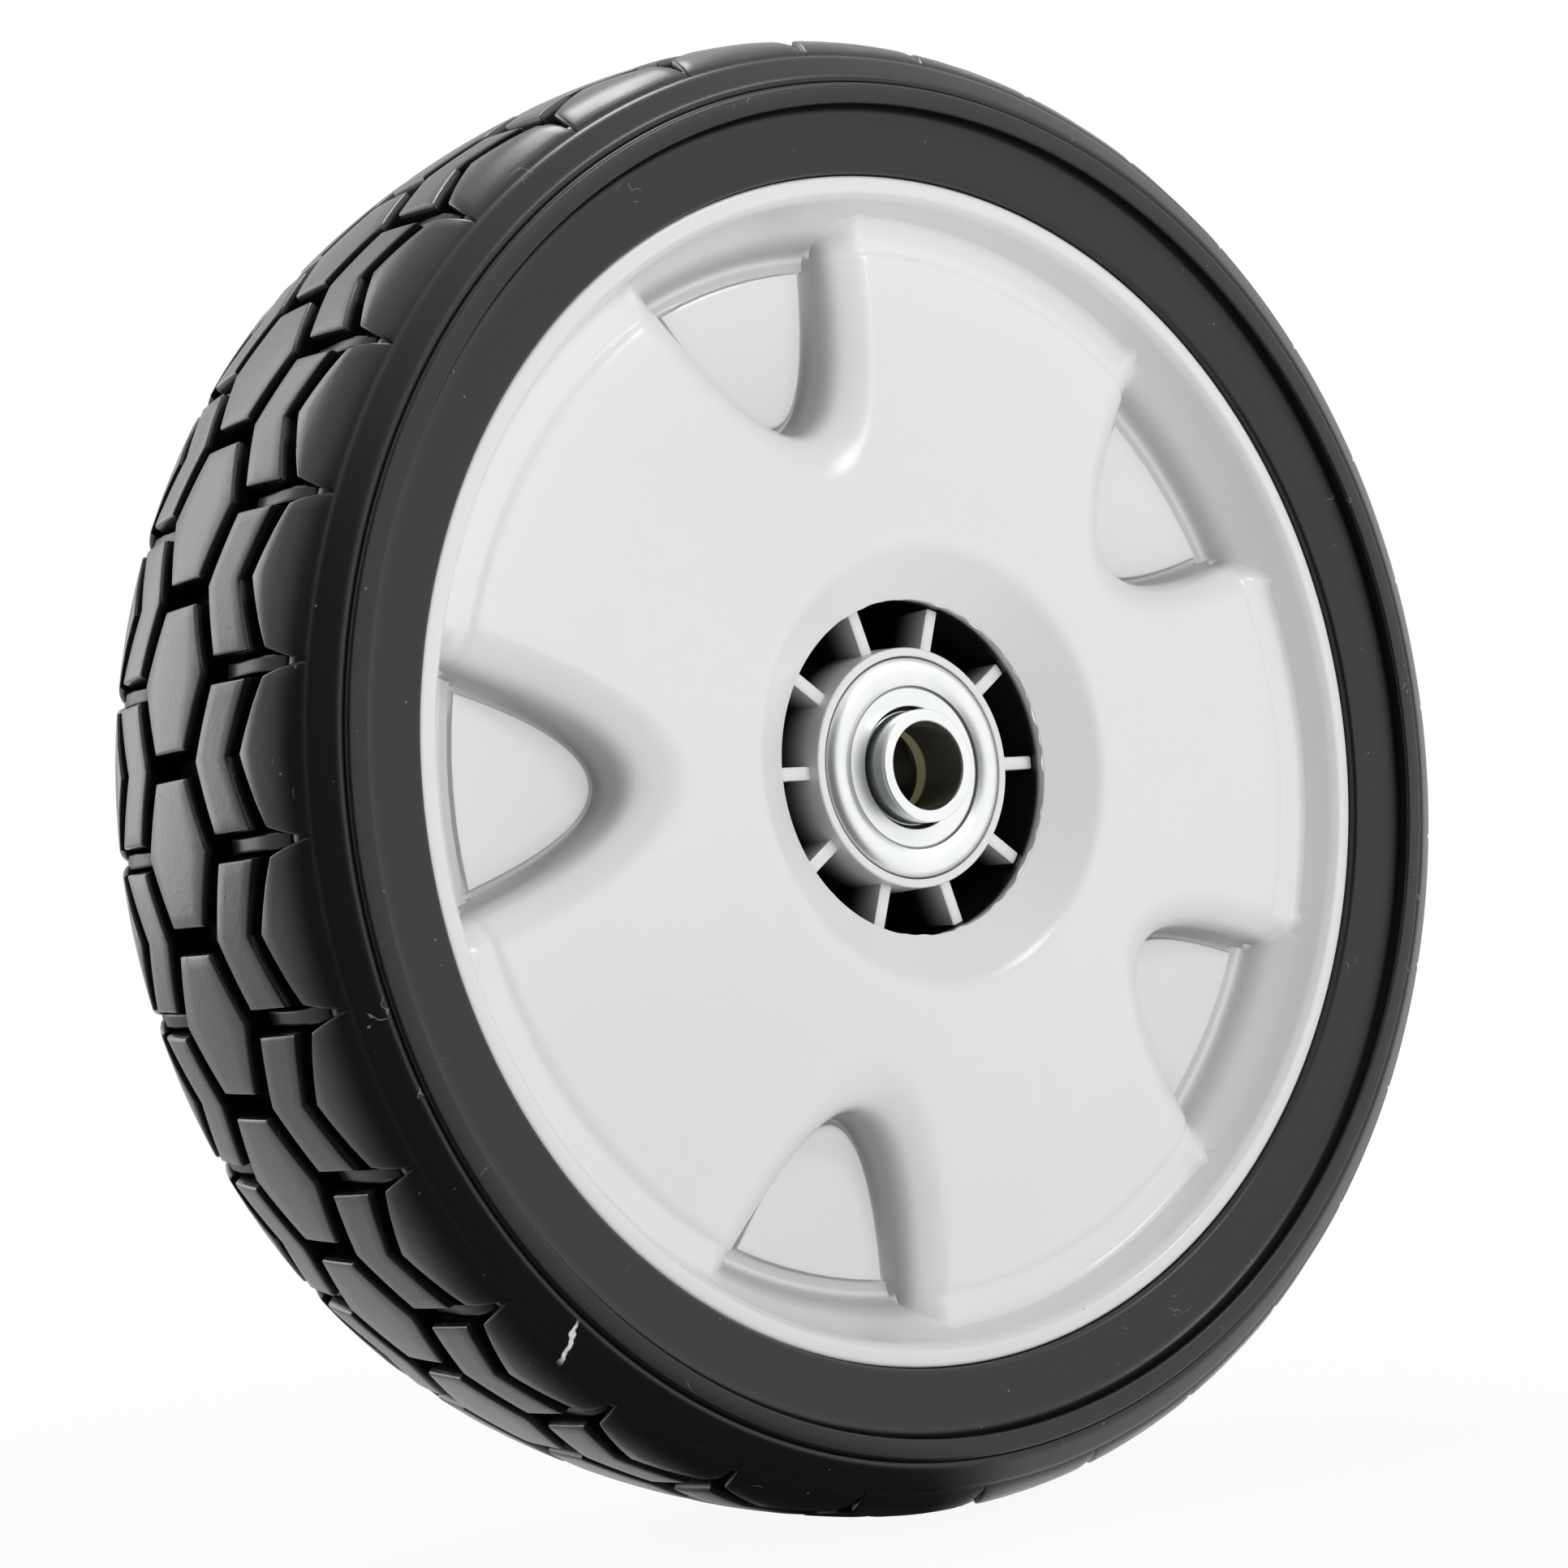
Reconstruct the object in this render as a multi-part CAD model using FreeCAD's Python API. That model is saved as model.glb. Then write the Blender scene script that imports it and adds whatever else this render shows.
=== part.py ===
import FreeCAD, Part
import math
import os

# Lawn mower wheel: a blocky rubber tyre on a one-piece moulded rim, turning on two shielded ball bearings.
# Lengths are in millimetres. The axle runs along Y through the origin, which is midway across the tread.
# The face with the pockets looks along -Y, and +Z is up.
# "Forward" below means the distance from the middle plane towards that face.

# Driving sizes of the tyre
TYRE_DIAMETER = 203.0
TYRE_WIDTH = 56.0
TREAD_PITCHES = 30
TREAD_PHASE = 5.35
CROWN_DROP = 1.3
GROOVE_DEPTH = 4.2
WALL_FLARE = 0.8
RIDGE_HEIGHT = 1.8

# Driving sizes of the rim
RIM_RADIUS = 80.5
RIM_HALF_WIDTH = 23.8
SEAT_RADIUS = 78.0
SHELL = 3.0
POCKETS = 5
POCKET_PHASE = 38.4
RIBS = 10
RIB_THICKNESS = 1.8

# Driving sizes of the bearings
BORE_DIAMETER = 12.0
BEARING_RADIUS = 15.35
BEARING_FACE = 18.0
COLLAR_RADIUS = 7.8
COLLAR_FACE = 20.3
BALL_DIAMETER = 5.5
BALLS = 7

# Clearances
SEAT_GAP = 0.05
RUNNING_GAP = 0.05
BEHIND_SHIELD = 0.3
SHIELD_OPENING = 0.7

PITCH_ANGLE = 360.0 / TREAD_PITCHES
TYRE_RADIUS = TYRE_DIAMETER / 2
TYRE_SIDE = TYRE_WIDTH / 2
FLOOR_RADIUS = TYRE_RADIUS - GROOVE_DEPTH
BORE_RADIUS = BORE_DIAMETER / 2
BALL_RADIUS = BALL_DIAMETER / 2

ORIGIN = FreeCAD.Vector(0, 0, 0)
AXLE = FreeCAD.Vector(0, 1, 0)
FACING = FreeCAD.Vector(0, -1, 0)
BEND = "bend"


def spot(radius, forward, across=0.0):
    """A point at a radius along +X, a distance forward, and a distance across along +Z."""
    return FreeCAD.Vector(radius, -forward, across)


def turned(points):
    """The solid made by turning a closed outline about the axle.

    Its corners are (radius, forward). One marked BEND is the middle of an arc between its neighbours.
    """
    edges = []
    for index, point in enumerate(points):
        following = points[(index + 1) % len(points)]
        if BEND in point:
            continue
        if BEND in following:
            end = points[(index + 2) % len(points)]
            edges.append(Part.Arc(spot(*point), spot(*following[:2]), spot(*end)).toShape())
        else:
            edges.append(Part.makeLine(spot(*point), spot(*following)))
    return Part.Face(Part.Wire(edges)).revolve(ORIGIN, AXLE, 360)


def mirrored_outline(points):
    """Corners of the front half followed by the same corners on the rear half."""
    return points + [(radius, -forward, *mark) for radius, forward, *mark in reversed(points)]


def eased(solid, radius, places):
    """The solid with the round edges that pass through the given (radius, forward) places rounded."""
    edges = []
    for edge in solid.Edges:
        point = edge.Vertexes[0].Point
        here = (math.hypot(point.x, point.z), -point.y)
        if len(edge.Vertexes) == 1 and any(math.dist(here, place) < SEAT_GAP for place in places):
            edges.append(edge)
    return solid.makeFillet(radius, edges)


def around(shape, count, phase):
    """Copies of a shape spaced evenly round the axle, the first turned by the phase from +X towards +Z."""
    step = 360.0 / count
    return [shape.rotated(ORIGIN, FACING, phase + step * index) for index in range(count)]


def rear_of(shape):
    """The same shape on the other side of the middle plane."""
    return shape.mirror(ORIGIN, AXLE)


def flat_outline(points, radius):
    """A closed outline of (across, forward) corners on the flat plane that touches a radius."""
    corners = [spot(radius, forward, across) for across, forward in points]
    return Part.makePolygon(corners + corners[:1])


# Tyre
HALF_PITCH = math.radians(PITCH_ANGLE / 2) * TYRE_RADIUS
BLOCK_GAP = 3.3
BLOCK_HALF = HALF_PITCH - BLOCK_GAP / 2
HEX_POINT = 8.2
HEX_END = 4.1
CHEVRON_POINT = 7.0
CHEVRON_CORNER = 10.6
CHEVRON_NOTCH = 14.2
CHEVRON_END = 18.3
SHOULDER_POINT = 17.0
SHOULDER_CORNER = 21.2
NOTCH_TIP = 25.6
NOTCH_EASE = 0.25
RIDGE_HALF = 0.9
RIDGE_FALL = 22.5
RIDGE_END = 24.0
SINK = 0.9
BEAD_FACE = RIM_HALF_WIDTH + 1.0
BEAD_BASE = 21.3
COVE_START = (86.3, 25.45)
COVE_BEND = (88.35, 26.15, BEND)
RING_INNER = 89.2
RING_OUTER = 92.0
PARTING = (96.1, 25.7)
SHOULDER_BEND = (99.1, 22.0, BEND)
SHOULDER_TOP = 100.3
RING_EASE = 0.3


def crown_ring():
    """The solid under the tread's crowned surface, from below the groove floor up."""
    reach = CHEVRON_END + 1
    edge_radius = TYRE_RADIUS - CROWN_DROP * (reach / CHEVRON_END) ** 2
    low = FLOOR_RADIUS - 2 * SINK
    crown = [(edge_radius, reach), (TYRE_RADIUS, 0, BEND), (edge_radius, -reach)]
    return turned(crown + [(low, -reach), (low, reach)])


def block(points, crown):
    """One tread block: its outline at the top flares towards its foot, and the crown trims its top."""
    top = flat_outline(points, TYRE_RADIUS + RUNNING_GAP)
    foot = flat_outline(points, FLOOR_RADIUS - SINK).makeOffset2D(WALL_FLARE, 2)
    return Part.makeLoft([foot, top], True, True).common(crown)


def ridge(points):
    """A narrow ridge along a groove, which throws stones out, from its (radius, forward) side outline."""
    corners = [spot(radius, forward, -RIDGE_HALF) for radius, forward in points]
    side = Part.Face(Part.makePolygon(corners + corners[:1]))
    return side.extrude(FreeCAD.Vector(0, 0, 2 * RIDGE_HALF))


def shoulder_notch():
    """The groove between two shoulder blocks: a pointed slot that opens into the tread's zigzag groove."""
    reach = HALF_PITCH - NOTCH_EASE
    points = [(0, NOTCH_TIP), (BLOCK_GAP / 2, SHOULDER_CORNER), (reach, SHOULDER_POINT)]
    points += [(reach, SHOULDER_POINT - SINK), (-reach, SHOULDER_POINT - SINK)]
    points += [(-reach, SHOULDER_POINT), (-BLOCK_GAP / 2, SHOULDER_CORNER)]
    low = FLOOR_RADIUS - SINK
    slot = Part.Face(flat_outline(points, low)).extrude(FreeCAD.Vector(2 * GROOVE_DEPTH, 0, 0))
    core = Part.makeCylinder(FLOOR_RADIUS, TYRE_WIDTH, spot(0, TYRE_SIDE), AXLE)
    return slot.cut(core)


def make_tyre():
    """The tyre: a turned carcass, notched shoulders, and blocks and ridges standing on the groove floor."""
    half = [(SEAT_RADIUS + SEAT_GAP, BEAD_BASE), (RIM_RADIUS + SEAT_GAP, BEAD_BASE)]
    half += [(RIM_RADIUS + SEAT_GAP, BEAD_FACE), COVE_START, COVE_BEND]
    half += [(RING_INNER, TYRE_SIDE), (RING_OUTER, TYRE_SIDE)]
    half += [PARTING, SHOULDER_BEND, (SHOULDER_TOP, SHOULDER_POINT), (FLOOR_RADIUS, SHOULDER_POINT)]
    ring_edges = [(RING_INNER, TYRE_SIDE), (RING_OUTER, TYRE_SIDE)]
    carcass = eased(turned(mirrored_outline(half)), RING_EASE, mirrored_outline(ring_edges))

    crown = crown_ring()
    hexagon = [(0, HEX_POINT), (BLOCK_HALF, HEX_END), (BLOCK_HALF, -HEX_END)]
    hexagon += [(0, -HEX_POINT), (-BLOCK_HALF, -HEX_END), (-BLOCK_HALF, HEX_END)]
    chevron = [(-BLOCK_HALF, CHEVRON_CORNER), (0, CHEVRON_POINT), (BLOCK_HALF, CHEVRON_CORNER)]
    chevron += [(BLOCK_HALF, CHEVRON_END), (0, CHEVRON_NOTCH), (-BLOCK_HALF, CHEVRON_END)]
    centre_block = block(hexagon, crown)
    side_block = block(chevron, crown)
    low, high = FLOOR_RADIUS - SINK, FLOOR_RADIUS + RIDGE_HEIGHT
    centre_ridge = ridge([(low, -HEX_END), (high, -HEX_END), (high, HEX_END), (low, HEX_END)])
    side_ridge = ridge([(low, CHEVRON_CORNER), (high, CHEVRON_CORNER), (high, RIDGE_FALL),
                        (FLOOR_RADIUS, RIDGE_END), (low, RIDGE_END)])
    notch = shoulder_notch()

    between = TREAD_PHASE + PITCH_ANGLE / 2
    notches = around(notch, TREAD_PITCHES, TREAD_PHASE) + around(rear_of(notch), TREAD_PITCHES, TREAD_PHASE)
    raised = around(centre_block, TREAD_PITCHES, TREAD_PHASE) + around(centre_ridge, TREAD_PITCHES, between)
    for piece, phase in ((side_block, between), (side_ridge, TREAD_PHASE)):
        raised += around(piece, TREAD_PITCHES, phase)
        raised += around(rear_of(piece), TREAD_PITCHES, phase)
    return carcass.cut(notches).fuse(raised)


# Rim
OPENING_RADIUS = 23.2
OPENING_FACE = 18.0
DISH_RADIUS = 30.6
DISH_FACE = 23.3
DISC_RADIUS = 71.0
DISC_FACE = 18.4
LEDGE_STEP = 0.5
VALLEY_RADIUS = 75.4
LIP_INNER = 77.5
LIP_WIDTH = 2.4
LIP_EASE = 0.7
HUB_RADIUS = 24.0
HUB_WALL = 2.4
HUB_FACE = 17.0
HUB_REAR = -10.0
WEB_HALF = 1.0
BOSS_RADIUS = 16.6
BOSS_FACE = 17.3
BOSS_DRAFT = 1.2
SEAT_DEPTH = 10.3
BOSS_CORE = 12.5
RIB_FACE = 15.4
RIB_REAR_HUB = -14.0
RIB_REAR_RIM = -6.0
RIB_ROOT = 0.4
BACKING = 0.7 * SHELL
POCKET_WALL = 0.8 * SHELL
FLOOR_FACE = 11.8
PAD_HEIGHT = 0.8
PAD_NOSE = 49.9
PAD_END = 69.6
PAD_BLUNT = 2.84
PAD_DRAFT = 0.4
# Outlines of a pocket: the nose's radius, its bluntness and the radius of the outer end.
# Above the floor each has its depth under the disc as well.
POCKET_FLOOR = (48.9, 2.95, 70.4)
POCKET_STEPS = [(48.1, 3.2, 74.0, 5.2), (47.3, 3.4, 75.2, 3.0)]
POCKET_STEPS += [(46.2, 3.55, 75.7, 2.1), (40.7, 3.8, 75.9, -0.2)]
REAR_FLOOR = (46.5, 3.3, 72.8)
REAR_MOUTH = (44.9, 3.75, 77.0)
DISC_SLOPE = (DISH_FACE - DISC_FACE) / (DISC_RADIUS - DISH_RADIUS)


def nose_outline(nose, bluntness, end, forward, slope=0.0):
    """A pocket outline: a parabola with its nose towards the hub, closed by an arc round the axle.

    The outline lies at a distance forward at the nose's radius zero, and falls outwards by the slope.
    """
    squared = bluntness ** 2
    reach = (math.sqrt(squared ** 2 + 4 * (end ** 2 + squared * nose)) - squared) / 2
    half = bluntness * math.sqrt(reach - nose)

    def place(radius, across):
        return spot(radius, forward - slope * radius, across)

    curve = Part.BezierCurve()
    curve.setPoles([place(reach, half), place(2 * nose - reach, 0), place(reach, -half)])
    closing = Part.Arc(place(reach, -half), place(end, 0), place(reach, half))
    return Part.Wire([curve.toShape(), closing.toShape()])


def pocket_space():
    """The space of one pocket: a flat floor, steep walls, a rounded rim and a wide shallow slope round it."""
    surface = DISH_FACE + DISC_SLOPE * DISH_RADIUS
    sections = [nose_outline(*POCKET_FLOOR, FLOOR_FACE)]
    for nose, bluntness, end, depth in POCKET_STEPS:
        sections.append(nose_outline(nose, bluntness, end, surface - depth, DISC_SLOPE))
    return Part.makeLoft(sections, True, True)


def pocket_shell():
    """The moulded wall behind one pocket."""
    floor = nose_outline(*REAR_FLOOR, FLOOR_FACE - POCKET_WALL)
    mouth = nose_outline(*REAR_MOUTH, OPENING_FACE - POCKET_WALL)
    return Part.makeLoft([floor, mouth], True, True)


def pocket_pad():
    """The raised pad on one pocket's floor."""
    foot = nose_outline(PAD_NOSE - PAD_DRAFT, PAD_BLUNT, PAD_END + PAD_DRAFT, FLOOR_FACE - PAD_HEIGHT)
    top = nose_outline(PAD_NOSE, PAD_BLUNT, PAD_END, FLOOR_FACE + PAD_HEIGHT)
    return Part.makeLoft([foot, top], True, True)


def rib():
    """One rib, from the boss through the hub's wall to the barrel, along +X."""
    barrel = SEAT_RADIUS - SHELL + RIB_ROOT
    points = [(BOSS_RADIUS - RIB_ROOT, RIB_FACE), (OPENING_RADIUS + RIB_ROOT, RIB_FACE)]
    points += [(DISH_RADIUS, DISH_FACE - BACKING), (DISC_RADIUS, DISC_FACE - BACKING)]
    points += [(barrel, DISC_FACE - BACKING), (barrel, RIB_REAR_RIM)]
    points += [(HUB_RADIUS, HUB_REAR), (BOSS_RADIUS - RIB_ROOT, RIB_REAR_HUB)]
    corners = [spot(radius, forward, -RIB_THICKNESS / 2) for radius, forward in points]
    side = Part.Face(Part.makePolygon(corners + corners[:1]))
    return side.extrude(FreeCAD.Vector(0, 0, RIB_THICKNESS))


def make_rim():
    """The one-piece rim: dished disc with pockets, tyre barrel with two lips, hub, boss and ribs."""
    barrel = SEAT_RADIUS - SHELL
    lip_back = RIM_HALF_WIDTH - LIP_WIDTH
    ledge = DISC_FACE - LEDGE_STEP
    outline = [(OPENING_RADIUS, OPENING_FACE), (DISH_RADIUS, DISH_FACE), (DISC_RADIUS, DISC_FACE)]
    outline += [(DISC_RADIUS + LEDGE_STEP, ledge), (VALLEY_RADIUS, ledge), (LIP_INNER, RIM_HALF_WIDTH)]
    outline += [(RIM_RADIUS, RIM_HALF_WIDTH), (RIM_RADIUS, lip_back), (SEAT_RADIUS, lip_back)]
    outline += [(SEAT_RADIUS, -lip_back), (RIM_RADIUS, -lip_back), (RIM_RADIUS, -RIM_HALF_WIDTH)]
    outline += [(LIP_INNER, -RIM_HALF_WIDTH), (barrel, -lip_back), (barrel, DISC_FACE - SHELL)]
    outline += [(DISC_RADIUS, DISC_FACE - SHELL), (DISH_RADIUS + 1, DISH_FACE - SHELL)]
    outline += [(OPENING_RADIUS, OPENING_FACE - POCKET_WALL)]
    lips = [(LIP_INNER, RIM_HALF_WIDTH), (RIM_RADIUS, RIM_HALF_WIDTH)]
    body = eased(turned(outline), LIP_EASE, mirrored_outline(lips) + [(DISH_RADIUS, DISH_FACE)])

    hub_outer = HUB_RADIUS + HUB_WALL
    hub = turned([(HUB_RADIUS, HUB_FACE), (hub_outer, OPENING_FACE), (hub_outer, HUB_REAR),
                  (HUB_RADIUS, HUB_REAR)])
    bearing_seat = BEARING_RADIUS + SEAT_GAP
    half_boss = [(BOSS_CORE, SEAT_DEPTH), (bearing_seat, SEAT_DEPTH), (bearing_seat, BOSS_FACE)]
    half_boss += [(BOSS_RADIUS, BOSS_FACE), (BOSS_RADIUS + BOSS_DRAFT, 0)]
    boss = turned(half_boss + [(radius, -forward) for radius, forward in reversed(half_boss[:-1])])
    web_outer = HUB_RADIUS + HUB_WALL / 2
    web = turned(mirrored_outline([(BOSS_RADIUS, WEB_HALF), (web_outer, WEB_HALF)]))
    seat = turned([(BOSS_CORE, BOSS_FACE), (bearing_seat, BOSS_FACE), (bearing_seat, SEAT_DEPTH),
                   (BOSS_CORE, SEAT_DEPTH)])

    ribs = around(rib(), RIBS, POCKET_PHASE)
    shells = around(pocket_shell(), POCKETS, POCKET_PHASE)
    spaces = around(pocket_space(), POCKETS, POCKET_PHASE)
    pads = around(pocket_pad(), POCKETS, POCKET_PHASE)
    moulding = body.fuse([hub, boss, web]).fuse(ribs).fuse(shells)
    return moulding.cut(spaces).fuse(pads).cut([seat, rear_of(seat)])


# Bearings
OUTER_WIDTH = 7.6
LIP_OVERLAP = 11.15
OUTER_INNER = 12.6
LIP_THICKNESS = 0.8
LIP_ROUND = 0.6
SHIELD_THICKNESS = 0.8
INNER_SHOULDER = 9.3
PITCH_RADIUS = 10.9
SPACER_RADIUS = 8.0
CHAMFER = 0.35
CAGE_GAP = 0.4
CAGE_BACK = 1.0
BALL_POCKET_GAP = 0.1
BEARING_REAR = BEARING_FACE - OUTER_WIDTH
SHIELD_FACE = BEARING_FACE - LIP_THICKNESS - RUNNING_GAP
SHIELD_REAR = SHIELD_FACE - SHIELD_THICKNESS
BALL_PLANE = SHIELD_REAR - BEHIND_SHIELD - BALL_RADIUS


def ball_track():
    """The ring-shaped space that the balls sweep, with room to run."""
    return Part.makeTorus(PITCH_RADIUS, BALL_RADIUS + RUNNING_GAP, spot(0, BALL_PLANE), AXLE)


def make_outer_race():
    """The pressed outer race: a cup with a rolled front lip that holds the shield."""
    lip_rear = BEARING_FACE - LIP_THICKNESS
    outline = [(BEARING_RADIUS, BEARING_REAR), (BEARING_RADIUS, BEARING_FACE), (LIP_OVERLAP, BEARING_FACE)]
    outline += [(LIP_OVERLAP, lip_rear), (OUTER_INNER, lip_rear), (OUTER_INNER, BEARING_REAR)]
    rolled = [(BEARING_RADIUS, BEARING_FACE), (LIP_OVERLAP, BEARING_FACE)]
    return eased(turned(outline), LIP_ROUND, rolled).cut(ball_track())


def make_shield():
    """The flat washer held behind the rolled lip, clear of the collar."""
    inner = COLLAR_RADIUS + SHIELD_OPENING
    outer = OUTER_INNER - RUNNING_GAP
    return turned([(inner, SHIELD_FACE), (outer, SHIELD_FACE), (outer, SHIELD_REAR), (inner, SHIELD_REAR)])


def make_inner_race():
    """The inner race, with the collar that stands out past the shield to meet the axle's shoulder."""
    ledge = SHIELD_REAR - BEHIND_SHIELD
    outline = [(BORE_RADIUS, BEARING_REAR), (INNER_SHOULDER, BEARING_REAR), (INNER_SHOULDER, ledge)]
    outline += [(COLLAR_RADIUS, ledge), (COLLAR_RADIUS, COLLAR_FACE - CHAMFER)]
    outline += [(COLLAR_RADIUS - CHAMFER, COLLAR_FACE), (BORE_RADIUS + CHAMFER, COLLAR_FACE)]
    outline += [(BORE_RADIUS, COLLAR_FACE - CHAMFER)]
    return turned(outline).cut(ball_track())


def ball(radius):
    """A ball at its place on the pitch circle, with its poles in line with the axle's radius."""
    return Part.makeSphere(radius, spot(PITCH_RADIUS, BALL_PLANE), spot(1, 0))


def make_balls():
    """The balls of one bearing, evenly spaced."""
    return around(ball(BALL_RADIUS), BALLS, 0)


def make_cage():
    """The moulded ring behind the balls, with a cup for each one and fingers between them."""
    inner = INNER_SHOULDER + CAGE_GAP
    outer = OUTER_INNER - CAGE_GAP
    front = BALL_PLANE + BALL_RADIUS / 4
    rear = BALL_PLANE - BALL_RADIUS - CAGE_BACK
    ring = turned([(inner, front), (outer, front), (outer, rear), (inner, rear)])
    return ring.cut(around(ball(BALL_RADIUS + BALL_POCKET_GAP), BALLS, 0))


def make_spacer():
    """The sleeve that keeps the two inner races apart."""
    half = BEARING_REAR - RUNNING_GAP
    mouth = BORE_RADIUS + 2 * CHAMFER
    return turned(mirrored_outline([(BORE_RADIUS, half - 2 * CHAMFER), (mouth, half), (SPACER_RADIUS, half)]))


# The rear bearing is the front one turned to face the other way
nodes = {"tyre": make_tyre(), "rim": make_rim(), "spacer_sleeve": make_spacer()}
front_bearing = {"outer_race": make_outer_race(), "shield": make_shield(), "inner_race": make_inner_race(),
                 "cage": make_cage()}
for number, shape in enumerate(make_balls(), start=1):
    front_bearing["ball_" + str(number)] = shape
for name, shape in front_bearing.items():
    nodes["front_" + name] = shape
    nodes["rear_" + name] = rear_of(shape)

os.makedirs("parts", exist_ok=True)
for name, shape in nodes.items():
    shape.exportStep("parts/" + name + ".step")
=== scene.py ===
import math

import bmesh
import bpy
from bpy.props import FloatProperty, FloatVectorProperty, IntProperty, PointerProperty
from mathutils import Matrix, Vector


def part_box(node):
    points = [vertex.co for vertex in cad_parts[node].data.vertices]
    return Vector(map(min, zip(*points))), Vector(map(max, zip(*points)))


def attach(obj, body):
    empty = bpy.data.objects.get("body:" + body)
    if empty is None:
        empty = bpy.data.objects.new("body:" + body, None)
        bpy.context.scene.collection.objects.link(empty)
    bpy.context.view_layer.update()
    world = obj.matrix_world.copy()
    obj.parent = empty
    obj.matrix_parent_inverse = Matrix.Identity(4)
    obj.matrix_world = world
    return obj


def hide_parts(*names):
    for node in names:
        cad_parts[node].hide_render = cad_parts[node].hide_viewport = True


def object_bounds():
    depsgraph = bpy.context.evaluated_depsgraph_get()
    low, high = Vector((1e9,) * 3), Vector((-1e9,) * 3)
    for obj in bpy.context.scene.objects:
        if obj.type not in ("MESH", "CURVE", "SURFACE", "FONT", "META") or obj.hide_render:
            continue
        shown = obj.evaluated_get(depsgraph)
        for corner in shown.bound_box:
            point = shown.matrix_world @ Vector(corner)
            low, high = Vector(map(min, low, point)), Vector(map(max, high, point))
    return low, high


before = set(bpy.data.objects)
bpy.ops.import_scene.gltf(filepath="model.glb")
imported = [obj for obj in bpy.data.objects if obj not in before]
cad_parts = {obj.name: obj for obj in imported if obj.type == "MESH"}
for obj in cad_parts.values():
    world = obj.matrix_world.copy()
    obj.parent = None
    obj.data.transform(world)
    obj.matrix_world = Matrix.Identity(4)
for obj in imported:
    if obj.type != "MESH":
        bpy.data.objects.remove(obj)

bl_info = {
    "name": "Lawn mower wheel",
    "version": (1, 0, 0),
    "blender": (4, 5, 0),
    "location": "3D View > Sidebar > Wheel",
    "description": "Dresses the solids of a mower wheel with rubber, moulded plastic and plated steel",
    "category": "Object",
}

# Shapes below are worked out in millimetres round the wheel's axle, which lies along Y.
# "Forward" is the distance from the middle plane towards the face with the pockets, along -Y.
# A turned piece has an outline of (radius, forward, rounding) corners.
MM = 0.001
CAD_BOX = [list(corner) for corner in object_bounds()]
TYRE_RADIUS = min(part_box("tyre")[1].x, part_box("tyre")[1].z) / MM
TYRE_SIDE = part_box("tyre")[1].y / MM
RIM_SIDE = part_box("rim")[1].y / MM
COLLAR_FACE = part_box("rear_inner_race")[1].y / MM
SHARP_ANGLE = math.radians(38)
WHEEL_SEGMENTS = 288
BEARING_SEGMENTS = 144
WHITE = (1.0, 1.0, 1.0, 1.0)


# Settings that a user would change

class TyreSettings(bpy.types.PropertyGroup):
    pitches: IntProperty(name="Tread pitches", description="Blocks in one row of the tread",
                         default=30, min=12)
    phase: FloatProperty(name="Tread phase", description="Angle of the first centre block", subtype="ANGLE",
                         default=math.radians(5.35))
    groove: FloatProperty(name="Groove depth", description="Depth of the tread at the crown", unit="LENGTH",
                          default=4.2 * MM)
    edge: FloatProperty(name="Block edge", description="Radius of the rounded edge of a block", unit="LENGTH",
                        default=0.45 * MM)
    rubber: FloatVectorProperty(name="Rubber", description="Colour of the smooth rubber", subtype="COLOR",
                                size=3, default=(0.0080, 0.0078, 0.0088))
    scuffed: FloatVectorProperty(name="Scuffed rubber", description="Colour where the skin is rubbed pale",
                                 subtype="COLOR", size=3, default=(0.030, 0.030, 0.032))
    dust: FloatVectorProperty(name="Dust", description="Colour of the specks and hairs", subtype="COLOR",
                              size=3, default=(0.22, 0.22, 0.21))


class RimSettings(bpy.types.PropertyGroup):
    pockets: IntProperty(name="Pockets", description="Pockets round the disc", default=5, min=2)
    phase: FloatProperty(name="Pocket phase", description="Angle of the first pocket", subtype="ANGLE",
                         default=math.radians(38.4))
    ribs: IntProperty(name="Ribs", description="Ribs round the hub", default=10, min=3)
    rib: FloatProperty(name="Rib thickness", description="Thickness of one rib", unit="LENGTH",
                       default=1.8 * MM)
    plastic: FloatVectorProperty(name="Plastic", description="Colour of the moulding", subtype="COLOR",
                                 size=3, default=(0.77, 0.77, 0.765))


class BearingSettings(bpy.types.PropertyGroup):
    zinc: FloatVectorProperty(name="Zinc", description="Colour of the bright plating", subtype="COLOR",
                              size=3, default=(0.96, 0.97, 0.965))
    # The yellow colours a band of painted light deep in the bore
    yellow: FloatVectorProperty(name="Yellow zinc", description="Colour of the plating deep in the bore",
                                subtype="COLOR", size=3, default=(0.92, 0.86, 0.55))


class StageSettings(bpy.types.PropertyGroup):
    lens: FloatProperty(name="Lens", description="Focal length on a 36 mm sensor, in millimetres",
                        unit="CAMERA", default=61.5)
    fill: FloatProperty(name="Fill light", description="Strength of the even light from all round",
                        default=0.20)
    key: FloatProperty(name="Key light", description="Power of the large lamp in front", unit="POWER",
                       default=3.9)
    edge: FloatProperty(name="Edge light", description="Power of the lamp behind the tread", unit="POWER",
                        default=5.4)
    top: FloatProperty(name="Top light", description="Power of the lamp overhead", unit="POWER",
                       default=2.5)
    spark: FloatProperty(name="Highlight", unit="POWER", default=1.2,
                         description="Power of the small lamp that draws lines on the edges")


# Shader maths

# The sockets of a Mix node that carry colours.
MIX_FIRST = 6
MIX_SECOND = 7
MIX_RESULT = 2


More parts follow.
